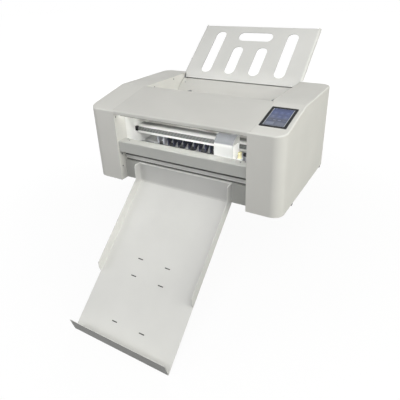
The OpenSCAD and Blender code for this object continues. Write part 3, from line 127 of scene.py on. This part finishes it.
class Nodes:
    """A material's node tree with short ways to add and link nodes."""

    def __init__(self, name):
        self.mat = bpy.data.materials.new(name)
        self.mat.use_nodes = True
        self.tree = self.mat.node_tree
        self.shader = self.tree.nodes["Principled BSDF"]
        texture = self.add("ShaderNodeTexCoord")
        self.coords, self.normal = texture.outputs["Object"], texture.outputs["Normal"]

    def add(self, kind, inputs=(), **props):
        node = self.tree.nodes.new(kind)
        for key, value in props.items():
            setattr(node, key, value)
        for key, value in dict(inputs).items():
            if isinstance(value, bpy.types.NodeSocket):
                self.tree.links.new(value, node.inputs[key])
            else:
                node.inputs[key].default_value = value
        return node

    def link(self, socket, name):
        self.tree.links.new(socket, self.shader.inputs[name])

    def put(self, name, value):
        self.shader.inputs[name].default_value = value

    def noise(self, scale, detail=2.0, stretch=None):
        place = self.coords
        if stretch:
            place = self.add("ShaderNodeMapping", {"Vector": place, "Scale": stretch}).outputs[0]
        inputs = {"Vector": place, "Scale": scale, "Detail": detail}
        return self.add("ShaderNodeTexNoise", inputs).outputs["Fac"]

    def drawn_lines(self, axis):
        return self.noise(LINES_SCALE, LINES_DETAIL, LINES[axis])

    def ramp(self, fac, low, high, at=(0.3, 0.7)):
        node = self.add("ShaderNodeValToRGB", {"Fac": fac})
        for element, colour, place in zip(node.color_ramp.elements, (low, high), at):
            element.color = (*colour, 1.0)
            element.position = place
        return node.outputs["Color"]

    def tones(self, fac, colour, low, high, at=(0.3, 0.7)):
        """A colour from low to high times itself."""
        return self.ramp(fac, shade(colour, low), shade(colour, high), at)

    def span(self, value, low, high, start=0.0, full=1.0, kind="LINEAR"):
        """From low to high, as a value goes from start to full."""
        inputs = {"Value": value, "From Min": start, "From Max": full,
                  "To Min": low, "To Max": high}
        return self.add("ShaderNodeMapRange", inputs, interpolation_type=kind).outputs["Result"]

    def beyond(self, value, start, full, kind="LINEAR"):
        return self.span(value, 0.0, 1.0, start, full, kind)

    def along(self, axis, vector=None):
        """One axis of a vector, or of the place on the object in metres."""
        vector = self.coords if vector is None else vector
        return self.add("ShaderNodeSeparateXYZ", {"Vector": vector}).outputs[axis]

    def math(self, kind, *values):
        return self.add("ShaderNodeMath", enumerate(values), operation=kind).outputs[0]

    def mix(self, fac, a, b):
        inputs = {MIX_FACTOR: fac, MIX_A: a, MIX_B: b}
        return self.add("ShaderNodeMix", inputs, data_type="RGBA").outputs[MIX_RESULT]

    def gloss(self, fac, low, high):
        """Roughness from low to high over a pattern."""
        self.link(self.span(fac, low, high), "Roughness")

    def bump(self, height, strength, distance):
        inputs = {"Height": height, "Strength": strength, "Distance": distance}
        self.link(self.add("ShaderNodeBump", inputs).outputs["Normal"], "Normal")


def powder_paint(name, colour, rough=0.52, bands=(), downward_shade=None, edge_shade=None):
    """Stoved powder paint: faint clouding, a fine orange peel and uneven gloss.

    A band is another colour beyond a place on an axis: the axis, the colour, and where it
    starts and is full. A downward shade is a painted shade on the faces that look down. An
    edge shade is a painted shade on a sheet's cut edges: its colour, the sheet's normal and
    the half width in which they lie.
    """
    n = Nodes(name)
    cloud = n.noise(7.0, 3.0)
    tone = n.tones(cloud, colour, 0.965, 1.02)
    for axis, other, start, full in bands:
        there = n.beyond(n.along(axis), start, full)
        tone = n.mix(there, tone, n.tones(cloud, other, 0.97, 1.02))
    # Painted shade on the faces that look down.
    if downward_shade:
        down = n.beyond(n.along("Z", n.normal), *LOOKS_DOWN)
        tone = n.mix(down, tone, n.tones(cloud, downward_shade, 0.97, 1.03))
    # Painted shade on the sheet's cut edges within the half width.
    if edge_shade:
        shaded_edge, sheet_normal, half_width = edge_shade
        dot = n.add("ShaderNodeVectorMath", {0: n.normal, 1: sheet_normal},
                    operation="DOT_PRODUCT").outputs["Value"]
        edge = n.math("LESS_THAN", n.math("ABSOLUTE", dot), EDGE_ON)
        inside = n.math("LESS_THAN", n.math("ABSOLUTE", n.along("X")), half_width)
        there = n.math("MULTIPLY", edge, inside)
        tone = n.mix(there, tone, n.tones(cloud, shaded_edge, 0.9, 1.1))
    n.link(tone, "Base Color")
    n.gloss(n.noise(60.0, 3.0), rough - 0.05, rough + 0.07)
    n.bump(n.noise(1600.0), 0.25, FINE)
    n.put("Specular IOR Level", 0.2)
    return n.mat


def brushed_metal(name, colour, rough=0.3, axis="x", metallic=1.0):
    """Metal drawn or ground along one axis, with fine lines and uneven gloss."""
    n = Nodes(name)
    lines = n.drawn_lines(axis)
    n.link(n.tones(lines, colour, 0.86, 1.08), "Base Color")
    n.gloss(lines, rough - 0.1, rough + 0.12)
    n.put("Metallic", metallic)
    n.bump(lines, 0.2, FINER)
    return n.mat


def beam_metal(name, colour, painted_shadow, start, reach):
    """Satin metal drawn along X, with a painted shadow dark behind the front edge of its top."""
    n = Nodes(name)
    lines = n.drawn_lines("x")
    back = n.beyond(n.along("Y"), start, start + reach, "SMOOTHSTEP")
    unshadowed, shadowed = n.tones(lines, colour, 0.93, 1.04), n.tones(lines, painted_shadow, 0.85, 1.1)
    n.link(n.mix(back, unshadowed, shadowed), "Base Color")
    n.gloss(lines, 0.3, 0.5)
    n.put("Metallic", 0.2)
    n.bump(lines, 0.2, FINER)
    return n.mat


def moulded_plastic(name, colour, rough=0.45, grain=900.0, specular=0.35):
    """Moulded plastic: a fine spark-eroded grain and slight clouding."""
    n = Nodes(name)
    n.link(n.tones(n.noise(45.0, 3.0), colour, 0.88, 1.1), "Base Color")
    n.gloss(n.noise(180.0), rough - 0.06, rough + 0.08)
    n.bump(n.noise(grain, 3.0), 0.3, FINE)
    n.put("Specular IOR Level", specular)
    return n.mat


def holder_plastic(name, dark, pale, reach):
    """Blue-black mouldings with paler spots painted as light glints; those further out than the
    reach are pale.
    """
    n = Nodes(name)
    outer = n.math("GREATER_THAN", n.math("ABSOLUTE", n.along("X")), reach)
    # Painted highlights: pale glints in the dark plastic.
    glints = n.tones(n.noise(150.0, 3.0), dark, 0.7, 5.0, (0.5, 0.78))
    light = n.tones(n.noise(60.0), pale, 0.9, 1.05)
    n.link(n.mix(outer, glints, light), "Base Color")
    n.gloss(n.noise(180.0), 0.3, 0.45)
    n.bump(n.noise(900.0, 3.0), 0.3, FINE)
    return n.mat


def cover_with_painted_shadow(name, lower, upper, z_low, z_high):
    """A moulded white cover, with a painted shadow of the top cover's lip in grey over its round
    top.
    """
    n = Nodes(name)
    normal = n.add("ShaderNodeNewGeometry").outputs["Normal"]
    end = n.math("ABSOLUTE", n.along("X", normal))
    high = n.beyond(n.along("Z"), z_low, z_high)
    # The round top, above z_low and not facing sideways, gets the painted shadow.
    top = n.math("MULTIPLY", high, n.math("SUBTRACT", 1.0, end))
    cloud = n.noise(45.0, 3.0)
    white, grey = n.tones(cloud, lower, 0.97, 1.02), n.tones(cloud, upper, 0.96, 1.03)
    n.link(n.mix(top, white, grey), "Base Color")
    n.gloss(n.noise(180.0), 0.26, 0.36)
    n.bump(n.noise(1200.0, 3.0), 0.2, FINE)
    return n.mat


def rubber(name, colour=(0.018, 0.018, 0.019)):
    n = Nodes(name)
    n.link(n.tones(n.noise(70.0, 4.0), colour, 0.7, 1.7), "Base Color")
    n.gloss(n.noise(240.0), 0.7, 0.9)
    n.bump(n.noise(1400.0, 3.0), 0.5, SOFT)
    return n.mat


def toothed(name, colour, pitch, slant=0.0, contrast=0.35):
    """Regular ribs across a length, such as a belt's back, a slanted rack or the dark ribs painted
    as shade in the exit gap.
    """
    n = Nodes(name)
    lean = n.math("MULTIPLY_ADD", n.along("Z"), -slant, n.along("X"))
    place = n.add("ShaderNodeCombineXYZ", {"X": lean}).outputs["Vector"]
    turns = math.pi / 10 / pitch                    # a Wave node's scale for one rib in a pitch
    wave = n.add("ShaderNodeTexWave", {"Vector": place, "Scale": turns}).outputs["Fac"]
    n.link(n.tones(wave, colour, 1 - contrast, 1 + contrast), "Base Color")
    n.gloss(n.noise(200.0), 0.45, 0.65)
    n.bump(wave, 0.5, COARSE)
    return n.mat


def glow(name, low, high, start, end, strength):
    """A lit display colour that changes up the slope, behind dark glass."""
    n = Nodes(name)
    cloud = n.span(n.noise(85.0), -0.3, 0.3)
    fac = n.math("ADD", n.beyond(n.along("Y"), start, end), cloud)
    n.link(n.ramp(fac, low, high, (0.15, 0.75)), "Emission Color")
    glass = n.ramp(n.noise(300.0), (0.010, 0.011, 0.014), (0.014, 0.015, 0.018))
    n.link(glass, "Base Color")
    n.put("Emission Strength", strength)
    n.put("Roughness", 0.2)
    n.put("Specular IOR Level", 0.2)
    return n.mat


def diffuser(name, strength):
    """White plastic, lit from inside."""
    n = Nodes(name)
    n.link(n.ramp(n.noise(90.0), (0.84, 0.84, 0.83), (0.88, 0.88, 0.87)), "Base Color")
    n.put("Emission Color", (1.0, 1.0, 0.98, 1.0))
    n.put("Emission Strength", strength)
    n.put("Roughness", 0.5)
    return n.mat


PAINT = (0.685, 0.680, 0.646)
TRAY_PAINT = (0.685, 0.685, 0.662)
WHITE_PAINT = (0.85, 0.85, 0.83)
# Painted shade on the feed tray's cut edges: the colour, the sheet's normal and the half width.
FEED_EDGE_SHADE = ((0.16, 0.16, 0.155), (0.0, -math.sin(FEED_ANGLE), math.cos(FEED_ANGLE)), 0.222)
TRAY_SHADE_AND_HIGHLIGHT = [("Z", (0.595, 0.595, 0.58), -0.002, 0.008),       # painted shade on the tray's back plate
              ("Z", (0.84, 0.84, 0.82), 0.0615, 0.0622)]        # a painted highlight on the rim on top of it
NOSE_PAINTED_SHADOW = [("Z", (0.16, 0.163, 0.16), 0.0815, 0.0835)]       # a painted shadow on the guide above its nose
FRAME_BANDS = [("Y", PAINT, -0.058, -0.048)]                    # the side frames behind the beam
BEAM_EDGE, BEAM_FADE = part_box("beam")[0].y + 0.005, 0.022       # where the painted shadow starts, and its fade

mats = {
    "paint": powder_paint("casing_paint", PAINT),
    "cover": powder_paint("cover_paint", shade(PAINT, 0.93)),
    "feed_plate": powder_paint("feed_plate_paint", shade(PAINT, 0.86)),
    "tray": powder_paint("tray_paint", TRAY_PAINT, edge_shade=FEED_EDGE_SHADE),
    # The output tray's faces that look down get a painted shade.
    "out_tray": powder_paint("out_tray_paint", TRAY_PAINT, bands=TRAY_SHADE_AND_HIGHLIGHT,
                             downward_shade=(0.43, 0.43, 0.415)),
    # The exit guide's near-white paint is lighter than the panels as painted light for its shade
    # under the ledge.
    "nose": powder_paint("nose_paint", (0.93, 0.93, 0.91), bands=NOSE_PAINTED_SHADOW),
    # The front panels' paint is darker than the casing's, as painted shade for their recess.
    "panel": powder_paint("panel_paint", (0.50, 0.505, 0.483)),
    "white": powder_paint("frame_paint", WHITE_PAINT, 0.4),
    "side_frame": powder_paint("side_frame_paint", WHITE_PAINT, 0.45, FRAME_BANDS),
    "plate": powder_paint("base_paint", (0.34, 0.345, 0.34), 0.5),
    "motor": powder_paint("motor_paint", (0.022, 0.022, 0.024), 0.4),
    "bed": brushed_metal("bed_metal", (0.84, 0.85, 0.85), 0.4, metallic=0.3),
    # The beam's top carries a painted shadow behind its front edge.
    "beam": beam_metal("beam_metal", (0.92, 0.92, 0.91), (0.125, 0.126, 0.122),
                       BEAM_EDGE, BEAM_FADE),
    "steel": brushed_metal("steel", (0.52, 0.53, 0.55), 0.3),
    "alloy": brushed_metal("alloy", (0.66, 0.67, 0.69), 0.34, "y"),
    "grit": brushed_metal("grit_steel", (0.30, 0.31, 0.32), 0.55),
    "pale_brass": brushed_metal("pale_brass", (0.96, 0.88, 0.56), 0.3, "z", 0.15),
    "screw": brushed_metal("screw_steel", (0.20, 0.20, 0.21), 0.35, "z"),
    "black": moulded_plastic("black_plastic", (0.016, 0.016, 0.018), 0.42),
    "strip": moulded_plastic("strip_plastic", (0.78, 0.77, 0.71), 0.5),
    "grey": moulded_plastic("grey_plastic", (0.26, 0.265, 0.27), 0.5),
    "board": moulded_plastic("board_lacquer", (0.012, 0.09, 0.035), 0.35),
    "screen_glass": moulded_plastic("screen_glass", (0.010, 0.011, 0.013), 0.3, 2500.0, 0.15),
    "holder": holder_plastic("holder_plastic", (0.018, 0.021, 0.045), (0.55, 0.56, 0.62), 0.125),
    # The carriage cover's grey round top is a painted shadow.
    "gloss_white": cover_with_painted_shadow("white_plastic", (0.74, 0.745, 0.735), (0.18, 0.188, 0.207),
                                  0.168, 0.172),
    "rubber": rubber("rubber"),
    "tyre": rubber("tyre_rubber", (0.03, 0.03, 0.031)),
    # Painted shade: the dark ribs that fill the gap under the exit guide.
    "gap_shade": toothed("painted_gap_shade", (0.17, 0.173, 0.165), 0.0012, contrast=0.3),
    "belt": toothed("belt_rubber", (0.02, 0.02, 0.021), 0.003),
    "rail": toothed("rail_steel", (0.145, 0.152, 0.149), 0.012, 0.8, 0.16),
}

NODE_MATERIALS = {
    "paint": ["left_housing", "right_housing", "rear_cover"],
    "cover": ["top_cover"],
    "feed_plate": ["feed_plate"],
    "tray": ["feed_tray"],
    "out_tray": ["output_tray"],
    "nose": ["exit_guide"],
    "panel": ["upper_front_panel", "lower_front_panel"],
    "white": ["pinch_bar"],
    "side_frame": ["left_side_frame", "right_side_frame"],
    "plate": ["base_plate"],
    "motor": ["carriage_motor", "feed_motor", "pick_motor"],
    "bed": ["front_bed", "rear_bed"],
    "beam": ["beam"],
    "steel": ["feed_tray_pins", "bearing_block", "tool_slide", "blade", "idler_bracket",
              "idler_pin", "carriage_motor_bracket", "pinch_axles", "pick_shaft",
              "power_supply", "usb_port"],
    "alloy": ["carriage_plate", "belt_clamp", "drive_pulley", "idler_pulley", "roller_pulley",
              "feed_motor_pulley", "roller_bushings", "pick_bushings"],
    "grit": ["drive_roller"],
    "pale_brass": ["blade_holder"],
    "black": ["beam_stops", "clamp_knob", "power_inlet", "switch_frame", "power_switch"],
    "strip": ["cutting_strip"],
    "grey": ["left_paper_guide", "right_paper_guide"],
    "board": ["control_board"],
    "screen_glass": ["screen_bezel", "display"],
    "holder": ["pinch_holders"],
    "gloss_white": ["carriage_cover"],
    "rubber": ["feet"],
    "tyre": ["pinch_rollers", "pick_tyres"],
    "belt": ["carriage_belt", "feed_belt"],
    "rail": ["guide_rail"],
}


def dress_nodes():
    for key, nodes in NODE_MATERIALS.items():
        for node in nodes:
            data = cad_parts[node].data
            data.materials.clear()
            data.materials.append(mats[key])


# Mesh helpers

SHARP_ANGLE = math.radians(35)
LEAST_RADIUS = 0.05                         # of a chamfered plate's inner corners


def piece(name, bm, body, materials):
    mesh = bpy.data.meshes.new(name)
    bmesh.ops.recalc_face_normals(bm, faces=bm.faces)
    bm.to_mesh(mesh)
    bm.free()
    for material in materials:
        mesh.materials.append(material)
    for polygon in mesh.polygons:
        polygon.use_smooth = True
    mesh.set_sharp_from_angle(angle=SHARP_ANGLE)
    obj = bpy.data.objects.new(name, mesh)
    bpy.context.scene.collection.objects.link(obj)
    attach(obj, body)
    return obj


def facing(base, place, normal):
    """Matrix at a place of a base frame, with +Z along the normal."""
    turn = Vector(normal).to_track_quat("Z", "Y").to_matrix().to_4x4()
    return base @ Matrix.Translation(Vector(place)) @ turn


def ring(bm, points, matrix):
    return [bm.verts.new(matrix @ Vector(p)) for p in points]


def bridge(bm, a, b, index=0):
    for i in range(len(a)):
        j = (i + 1) % len(a)
        bm.faces.new((a[i], a[j], b[j], b[i])).material_index = index


def cap(bm, loop, index=0):
    bm.faces.new(loop).material_index = index


def rounded_outline(size, radius, steps=6):
    """Points of a rectangle with round corners, about the origin."""
    x, y = size[0] / 2 - radius, size[1] / 2 - radius
    points = []
    for side_x, side_y, start in ((1, 1, 0), (-1, 1, 90), (-1, -1, 180), (1, -1, 270)):
        for i in range(steps + 1):
            a = math.radians(start + 90 * i / steps)
            points.append((side_x * x + radius * math.cos(a), side_y * y + radius * math.sin(a)))
    return points


def plaque(bm, matrix, centre, size, levels, radius, edge, index=0):
    """A thin rounded plate between two levels, with a chamfered rim."""
    low, high = levels
    outer = rounded_outline(size, radius)
    inner = rounded_outline([side - 2 * edge for side in size], max(LEAST_RADIUS, radius - edge))
    rings = [ring(bm, [(centre[0] + x, centre[1] + y, z) for x, y in outline], matrix)
             for outline, z in ((outer, low), (outer, high - edge), (inner, high))]
    for a, b in zip(rings, rings[1:]):
        bridge(bm, a, b, index)
    cap(bm, rings[-1], index)
    cap(bm, rings[0][::-1], index)


# Screws

SCREW_SIDES = 24
SCREW_PROFILE = ((1.0, -0.1), (1.0, 0.22), (0.9, 0.42), (0.7, 0.52))    # a head's radii, heights
SOCKET_REACH, SOCKET_LEVELS = 0.45, (0.52, 0.08)        # its socket's corners, its mouth and floor

WALL_SCREWS = ((7.0, 219.5), (15.7, 91.0), (12.9, 48.3),    # distance from the front, and height
               (222.0, 269.0), (343.0, 273.0))
LEDGE_SCREWS = ((200.0, 27.0), (212.0, 34.0))               # X, and distance from the front
REAR_SCREW_X, REAR_SCREW_HEIGHTS = 221.0, (20.0, 140.0, 262.0)
BASE_SCREW_X, BASE_SCREW_ROWS = 254.0, (50.0, 240.0, 430.0)
FRAME_SCREWS = ((60.0, 60.0), (60.0, 215.0))                # distance from the front, and height
FEED_TRAY_SCREW_ROWS, BEND_LEAN = (94.0, 262.0), math.radians(45)
FEED_PLATE_SCREWS = ((5.5, -67.0), (-211.0, -24.0), (211.0, -24.0))     # X, and place up the slope
WALL_R, COVER_R, FRAME_R, TRAY_R, PLATE_R = 2.3, 2.8, 2.4, 1.9, 2.0     # the heads' radii


def screw_head(bm, matrix, r):
    """A pan-head screw with a hexagon socket; the matrix puts +Z out of the surface."""
    angles = [2 * math.pi * i / SCREW_SIDES for i in range(SCREW_SIDES)]

    def loop(radii, level):
        points = [(r * reach * math.cos(a), r * reach * math.sin(a), r * level)
                  for a, reach in zip(angles, radii)]
        return ring(bm, points, matrix)

    flat = SOCKET_REACH * math.cos(math.pi / 6)
    hexagon = [flat / math.cos(a % (math.pi / 3) - math.pi / 6) for a in angles]
    rings = [loop([radius] * SCREW_SIDES, level) for radius, level in SCREW_PROFILE]
    rings += [loop(hexagon, level) for level in SOCKET_LEVELS]
    for a, b in zip(rings, rings[1:]):
        bridge(bm, a, b)
    cap(bm, rings[0][::-1])
    cap(bm, rings[-1])


def screws(name, body, base, heads):
    """Screws as one piece; each head is its place, the way it faces and its radius."""
    bm = bmesh.new()
    for place, normal, radius in heads:
        screw_head(bm, facing(base, place, normal), radius)
    return piece(name, bm, body, [mats["screw"]])


def casing_screws():
    """Screws in the opening's walls, the ledge, the rear cover, the base and the side frames."""
    heads = []
    for side in (-1, 1):
        inwards = (-side, 0, 0)
        heads += [((side * OPEN_X, yf(y), z), inwards, WALL_R) for y, z in WALL_SCREWS]
        heads += [((side * x, yf(y), LEDGE_Z), (0, 0, 1), WALL_R) for x, y in LEDGE_SCREWS]
        heads += [((side * REAR_SCREW_X, BACK_Y, z), (0, 1, 0), COVER_R)
                  for z in REAR_SCREW_HEIGHTS]
        heads += [((side * BASE_SCREW_X, yf(y), 0.0), (0, 0, -1), COVER_R)
                  for y in BASE_SCREW_ROWS]
        heads += [((side * FRAME_X, yf(y), z), inwards, FRAME_R) for y, z in FRAME_SCREWS]
    return screws("casing_screws", "casing", IN_MM, heads)


def feed_tray_screws():
    """Two screws on the bend of the feed tray's left edge."""
    x = -FEED_FLAT_X - FEED_BEND * math.sin(BEND_LEAN)
    z = -FEED_BEND + FEED_BEND * math.cos(BEND_LEAN)
    outwards = (-math.sin(BEND_LEAN), 0, math.cos(BEND_LEAN))
    heads = [((x, row, z), outwards, TRAY_R) for row in FEED_TRAY_SCREW_ROWS]
    return screws("feed_tray_screws", "feed_tray", ON_FEED, heads)


def feed_plate_screws():
    heads = [((x, v, 0.0), (0, 0, 1), PLATE_R) for x, v in FEED_PLATE_SCREWS]
    return screws("feed_plate_screws", "casing", ON_FEED, heads)


# Output tray and exit

# The slits' black strips are painted shade for the dark seen through them.
SLIT_ROWS, SLIT_X = (245.5, 299.0, 438.5), 50.0
SLIT_STEM = {"size": (13.7, 1.7), "levels": (-1.3, 0.1), "radius": 0.5, "edge": 0.1}
SLIT_HEAD = {"size": (18.5, 3.0), "levels": (0.02, 0.4), "radius": 1.1, "edge": 0.15}

# A strip in the shaded gap under the exit guide: a pale part, and dark ribs as painted shade.
GAP_STRIP_AT = (0.0, yf(36.6), 68.9)
GAP_STRIP_PALE = {"centre": (0, 2.7), "size": (457.0, 4.2), "levels": (-1.2, 1.0),
                "radius": 0.4, "edge": 0.2, "index": 0}
GAP_STRIP_DARK = {"centre": (0, -1.8), "size": (457.0, 6.0), "levels": (-1.0, -0.2),
              "radius": 0.3, "edge": 0.1, "index": 1}


def tray_slit_shade_strips():
    """Black strips in the output tray's six slits, with heads that stand on its face, as painted
    shade for the dark seen through the slits.
    """
    bm = bmesh.new()
    for row in SLIT_ROWS:
        for side in (-1, 1):
            plaque(bm, ON_TRAY, (side * SLIT_X, -row), **SLIT_STEM)
            plaque(bm, ON_TRAY, (side * SLIT_X, -row), **SLIT_HEAD)
    return piece("tray_slit_shade_strips", bm, "output_tray", [mats["rubber"]])


def exit_gap_shade_strip():
    """A strip under the exit guide's nose that fills the shaded gap: a pale upper part in the
    guide's paint, and dark ribs below it as painted shade.
    """
    bm = bmesh.new()
    base = facing(IN_MM, GAP_STRIP_AT, (0, -1, 0))
    plaque(bm, base, **GAP_STRIP_PALE)
    plaque(bm, base, **GAP_STRIP_DARK)
    return piece("exit_gap_shade_strip", bm, "casing", [mats["nose"], mats["gap_shade"]])


# Screen

SCREEN_AT, SCREEN_SIZE, SCREEN_FACE = (283.0, 94.5), (63.8, 93.8), 0.6
SCREEN_GLOW = 0.62
SCREEN_SINK, SCREEN_EDGE = 0.05, 0.02       # how far the plates go into the glass, their chamfer
SCREEN_INKS = (                             # the colours at the screen's lower and upper edges
    ("line", (0.68, 0.74, 0.76), (0.74, 0.78, 0.86)),
    ("page", (0.19, 0.21, 0.28), (0.095, 0.13, 0.30)),
    ("tile", (0.22, 0.245, 0.32), (0.112, 0.15, 0.335)),
    ("mark", (0.29, 0.325, 0.42), (0.16, 0.205, 0.42)),
    ("bar", (0.16, 0.17, 0.21), (0.075, 0.10, 0.23)),
)
LINE, PAGE, TILE, MARK, BAR = range(len(SCREEN_INKS))


def screen_plates():
    """The interface's plates: X, Y, width, height, level, corner radius and ink."""
    w, h = SCREEN_SIZE
    bar_y, strip_y, button_y = h / 2 - 6.5, -16.5, -34
    plates = [(0, 0, w - 3.4, h - 3.0, 0.08, 0.6, LINE),
              (0, 0, w - 6.0, h - 3.6, 0.14, 0.4, PAGE),
              (0, bar_y, w - 6.4, 8.0, 0.18, 0.3, BAR)]
    for x in (-18, 0, 18):
        for y in (22, 2):
            plates += [(x, y, 14, 14, 0.20, 1.6, TILE),
                       (x, y + 2, 6, 6, 0.24, 2.8, MARK),
                       (x, y - 4.5, 8, 1.4, 0.24, 0.5, MARK)]
    plates.append((0, strip_y, w - 11, 13, 0.20, 1.6, BAR))
    for i in range(4):
        plates.append((-20 + 13.4 * i, strip_y, 9, 2.0 + 1.6 * (i % 3), 0.24, 0.5, MARK))
    return plates + [(-14, button_y, 22, 13, 0.20, 2.4, MARK),
                     (14, button_y, 22, 13, 0.20, 2.4, TILE),
                     (-22, bar_y, 3, 3, 0.22, 1.4, MARK),
                     (22, bar_y, 5, 2.4, 0.22, 0.6, MARK)]


def screen_ui():
    """A generic interface: a light line at each side, a blue page, soft tiles and a strip."""
    ends = [yf((SCREEN_AT[1] + side * SCREEN_SIZE[1] / 2) * math.cos(SLOPE)) * MM
            for side in (-1, 1)]
    inks = [glow("screen_" + name, low, high, *ends, SCREEN_GLOW)
            for name, low, high in SCREEN_INKS]
    bm = bmesh.new()
    for x, y, w, h, level, radius, ink in screen_plates():
        levels = (SCREEN_FACE - SCREEN_SINK, SCREEN_FACE + level)
        plaque(bm, ON_SLOPE, (SCREEN_AT[0] + x, SCREEN_AT[1] + y), (w, h), levels, radius,
               SCREEN_EDGE, ink)
    return piece("screen_ui", bm, "casing", inks)


# Lamps inside the machine

CHANNEL_WIDTH, DIFFUSER_WIDTH, DIFFUSER_INSET = 430.0, 420.0, 2.0
STRIP_LIGHTS = {                            # place, the way it faces, height and strength
    "work_light": ((0.0, yf(16.0), 230.0), (0.0, 1.0, 0.06), 11.0, 26.0),   # behind the cover's lip
    "ledge_light": ((0.0, yf(46.0), 120.0), (0.0, 1.0, 0.25), 8.0, 5.0),    # behind the ledge
}
PANEL_AT, PANEL_STRENGTH = (160.5, yf(80.0), 141.0), 0.4
PANEL = {"size": (40.0, 52.0), "levels": (-0.2, 1.2), "radius": 7.0, "edge": 0.4}


def strip_light(name, place, faces, height, strength):
    """A strip lamp across the opening: a black channel with a white diffuser."""
    bm = bmesh.new()
    base = facing(IN_MM, place, faces)
    plaque(bm, base, (0, 0), (CHANNEL_WIDTH, height), (-4.0, 0.0), 2.0, 0.6, 0)
    plaque(bm, base, (0, 0), (DIFFUSER_WIDTH, height - DIFFUSER_INSET), (-0.2, 1.6), 2.0, 0.8, 1)
    materials = [mats["black"], diffuser(name + "_diffuser", strength)]
    return piece(name, bm, "casing", materials)


def carriage_light():
    """A lit panel on the carriage's right end, beside the blade."""
    bm = bmesh.new()
    plaque(bm, facing(IN_MM, PANEL_AT, (1, 0, 0)), (0, 0), **PANEL)
    materials = [diffuser("panel_diffuser", PANEL_STRENGTH)]
    return piece("carriage_light", bm, "carriage", materials)


# Floor and studio light

WHITE = (1.0, 1.0, 1.0)
FLOOR_DROP, FLOOR_HALF, FLOOR_GREY = 0.0006, 14.0, 0.06
FLOOR_NEAR, FLOOR_FAR, FLOOR_DIM = 0.5, 2.2, 0.93   # the floor is a little dimmer near the object
AMBIENT = 0.08
LAMP_TARGET = (0, -0.1, 0.0)
LAMPS = {                                   # place, size, power, colour, and if surfaces mirror it
    "front": ((1.25, -1.70, 2.30), 3.0, 71.0, WHITE, True),
    "low": ((0.30, -2.90, 0.70), 2.0, 1.5, WHITE, True),
    "left": ((-1.50, -1.45, 0.80), 1.4, 13.0, WHITE, True),
    "right": ((2.80, -0.42, 0.98), 1.8, 45.0, (1.0, 1.0, 0.93), True),
    "rear": ((-1.75, 2.80, 0.45), 1.3, 64.0, WHITE, False),     # or it would shine on the tops
}


def seen_directly(tree, strength, otherwise=0.0):
    """A strength for rays from the camera, mirrors and glass, and another one for the rest."""
    path = tree.nodes.new("ShaderNodeLightPath")
    seen = path.outputs["Is Camera Ray"]
    for name in ("Is Glossy Ray", "Is Transmission Ray"):
        either = tree.nodes.new("ShaderNodeMath")
        either.operation = "MAXIMUM"
        tree.links.new(seen, either.inputs[0])
        tree.links.new(path.outputs[name], either.inputs[1])
        seen = either.outputs[0]
    level = tree.nodes.new("ShaderNodeMapRange")
    tree.links.new(seen, level.inputs["Value"])
    level.inputs["To Min"].default_value = otherwise
    level.inputs["To Max"].default_value = strength
    return level.outputs["Result"]


def floor_paint():
    """A matt floor that shows white and keeps the object's shadow."""
    n = Nodes("floor_white")
    n.link(n.tones(n.noise(3.0), (FLOOR_GREY,) * 3, 1.0, 1.03), "Base Color")
    n.put("Roughness", 0.9)
    n.put("Specular IOR Level", 0.0)
    n.put("Emission Color", (*WHITE, 1.0))
    away = n.add("ShaderNodeVectorMath", {0: n.coords}, operation="LENGTH").outputs["Value"]
    level = n.span(away, FLOOR_DIM, 1.0, FLOOR_NEAR, FLOOR_FAR, "SMOOTHSTEP")
    n.link(n.math("MULTIPLY", seen_directly(n.tree, 1.0), level), "Emission Strength")
    return n.mat


def make_floor():
    z = cad_box[0].z - FLOOR_DROP
    bm = bmesh.new()
    corners = [(x * FLOOR_HALF, y * FLOOR_HALF, z) for x, y in ((-1, -1), (1, -1), (1, 1), (-1, 1))]
    bm.faces.new([bm.verts.new(corner) for corner in corners])
    mesh = bpy.data.meshes.new("floor")
    bm.to_mesh(mesh)
    bm.free()
    mesh.materials.append(floor_paint())
    floor = bpy.data.objects.new("floor", mesh)
    bpy.context.scene.collection.objects.link(floor)


def make_world():
    world = bpy.data.worlds.new("studio")
    bpy.context.scene.world = world
    world.use_nodes = True
    tree = world.node_tree
    back = tree.nodes["Background"]
    back.inputs["Color"].default_value = (*WHITE, 1.0)
    tree.links.new(seen_directly(tree, 1.0, AMBIENT), back.inputs["Strength"])


def make_lights():
    for name, (place, size, power, colour, mirrored) in LAMPS.items():
        data = bpy.data.lights.new(name, "AREA")
        data.shape = "DISK"
        data.size = size
        data.energy = power
        data.color = colour
        lamp = bpy.data.objects.new(name, data)
        bpy.context.scene.collection.objects.link(lamp)
        lamp.visible_camera = False
        lamp.visible_glossy = mirrored
        lamp.location = place
        lamp.rotation_mode = "QUATERNION"
        lamp.rotation_quaternion = (Vector(LAMP_TARGET) - Vector(place)).to_track_quat("-Z", "Y")


make_camera()
dress_nodes()
casing_screws()
feed_tray_screws()
feed_plate_screws()
tray_slit_shade_strips()
exit_gap_shade_strip()
screen_ui()
for light, spec in STRIP_LIGHTS.items():
    strip_light(light, *spec)
carriage_light()
make_floor()
make_world()
make_lights()
bpy.context.scene.view_settings.view_transform = "Standard"
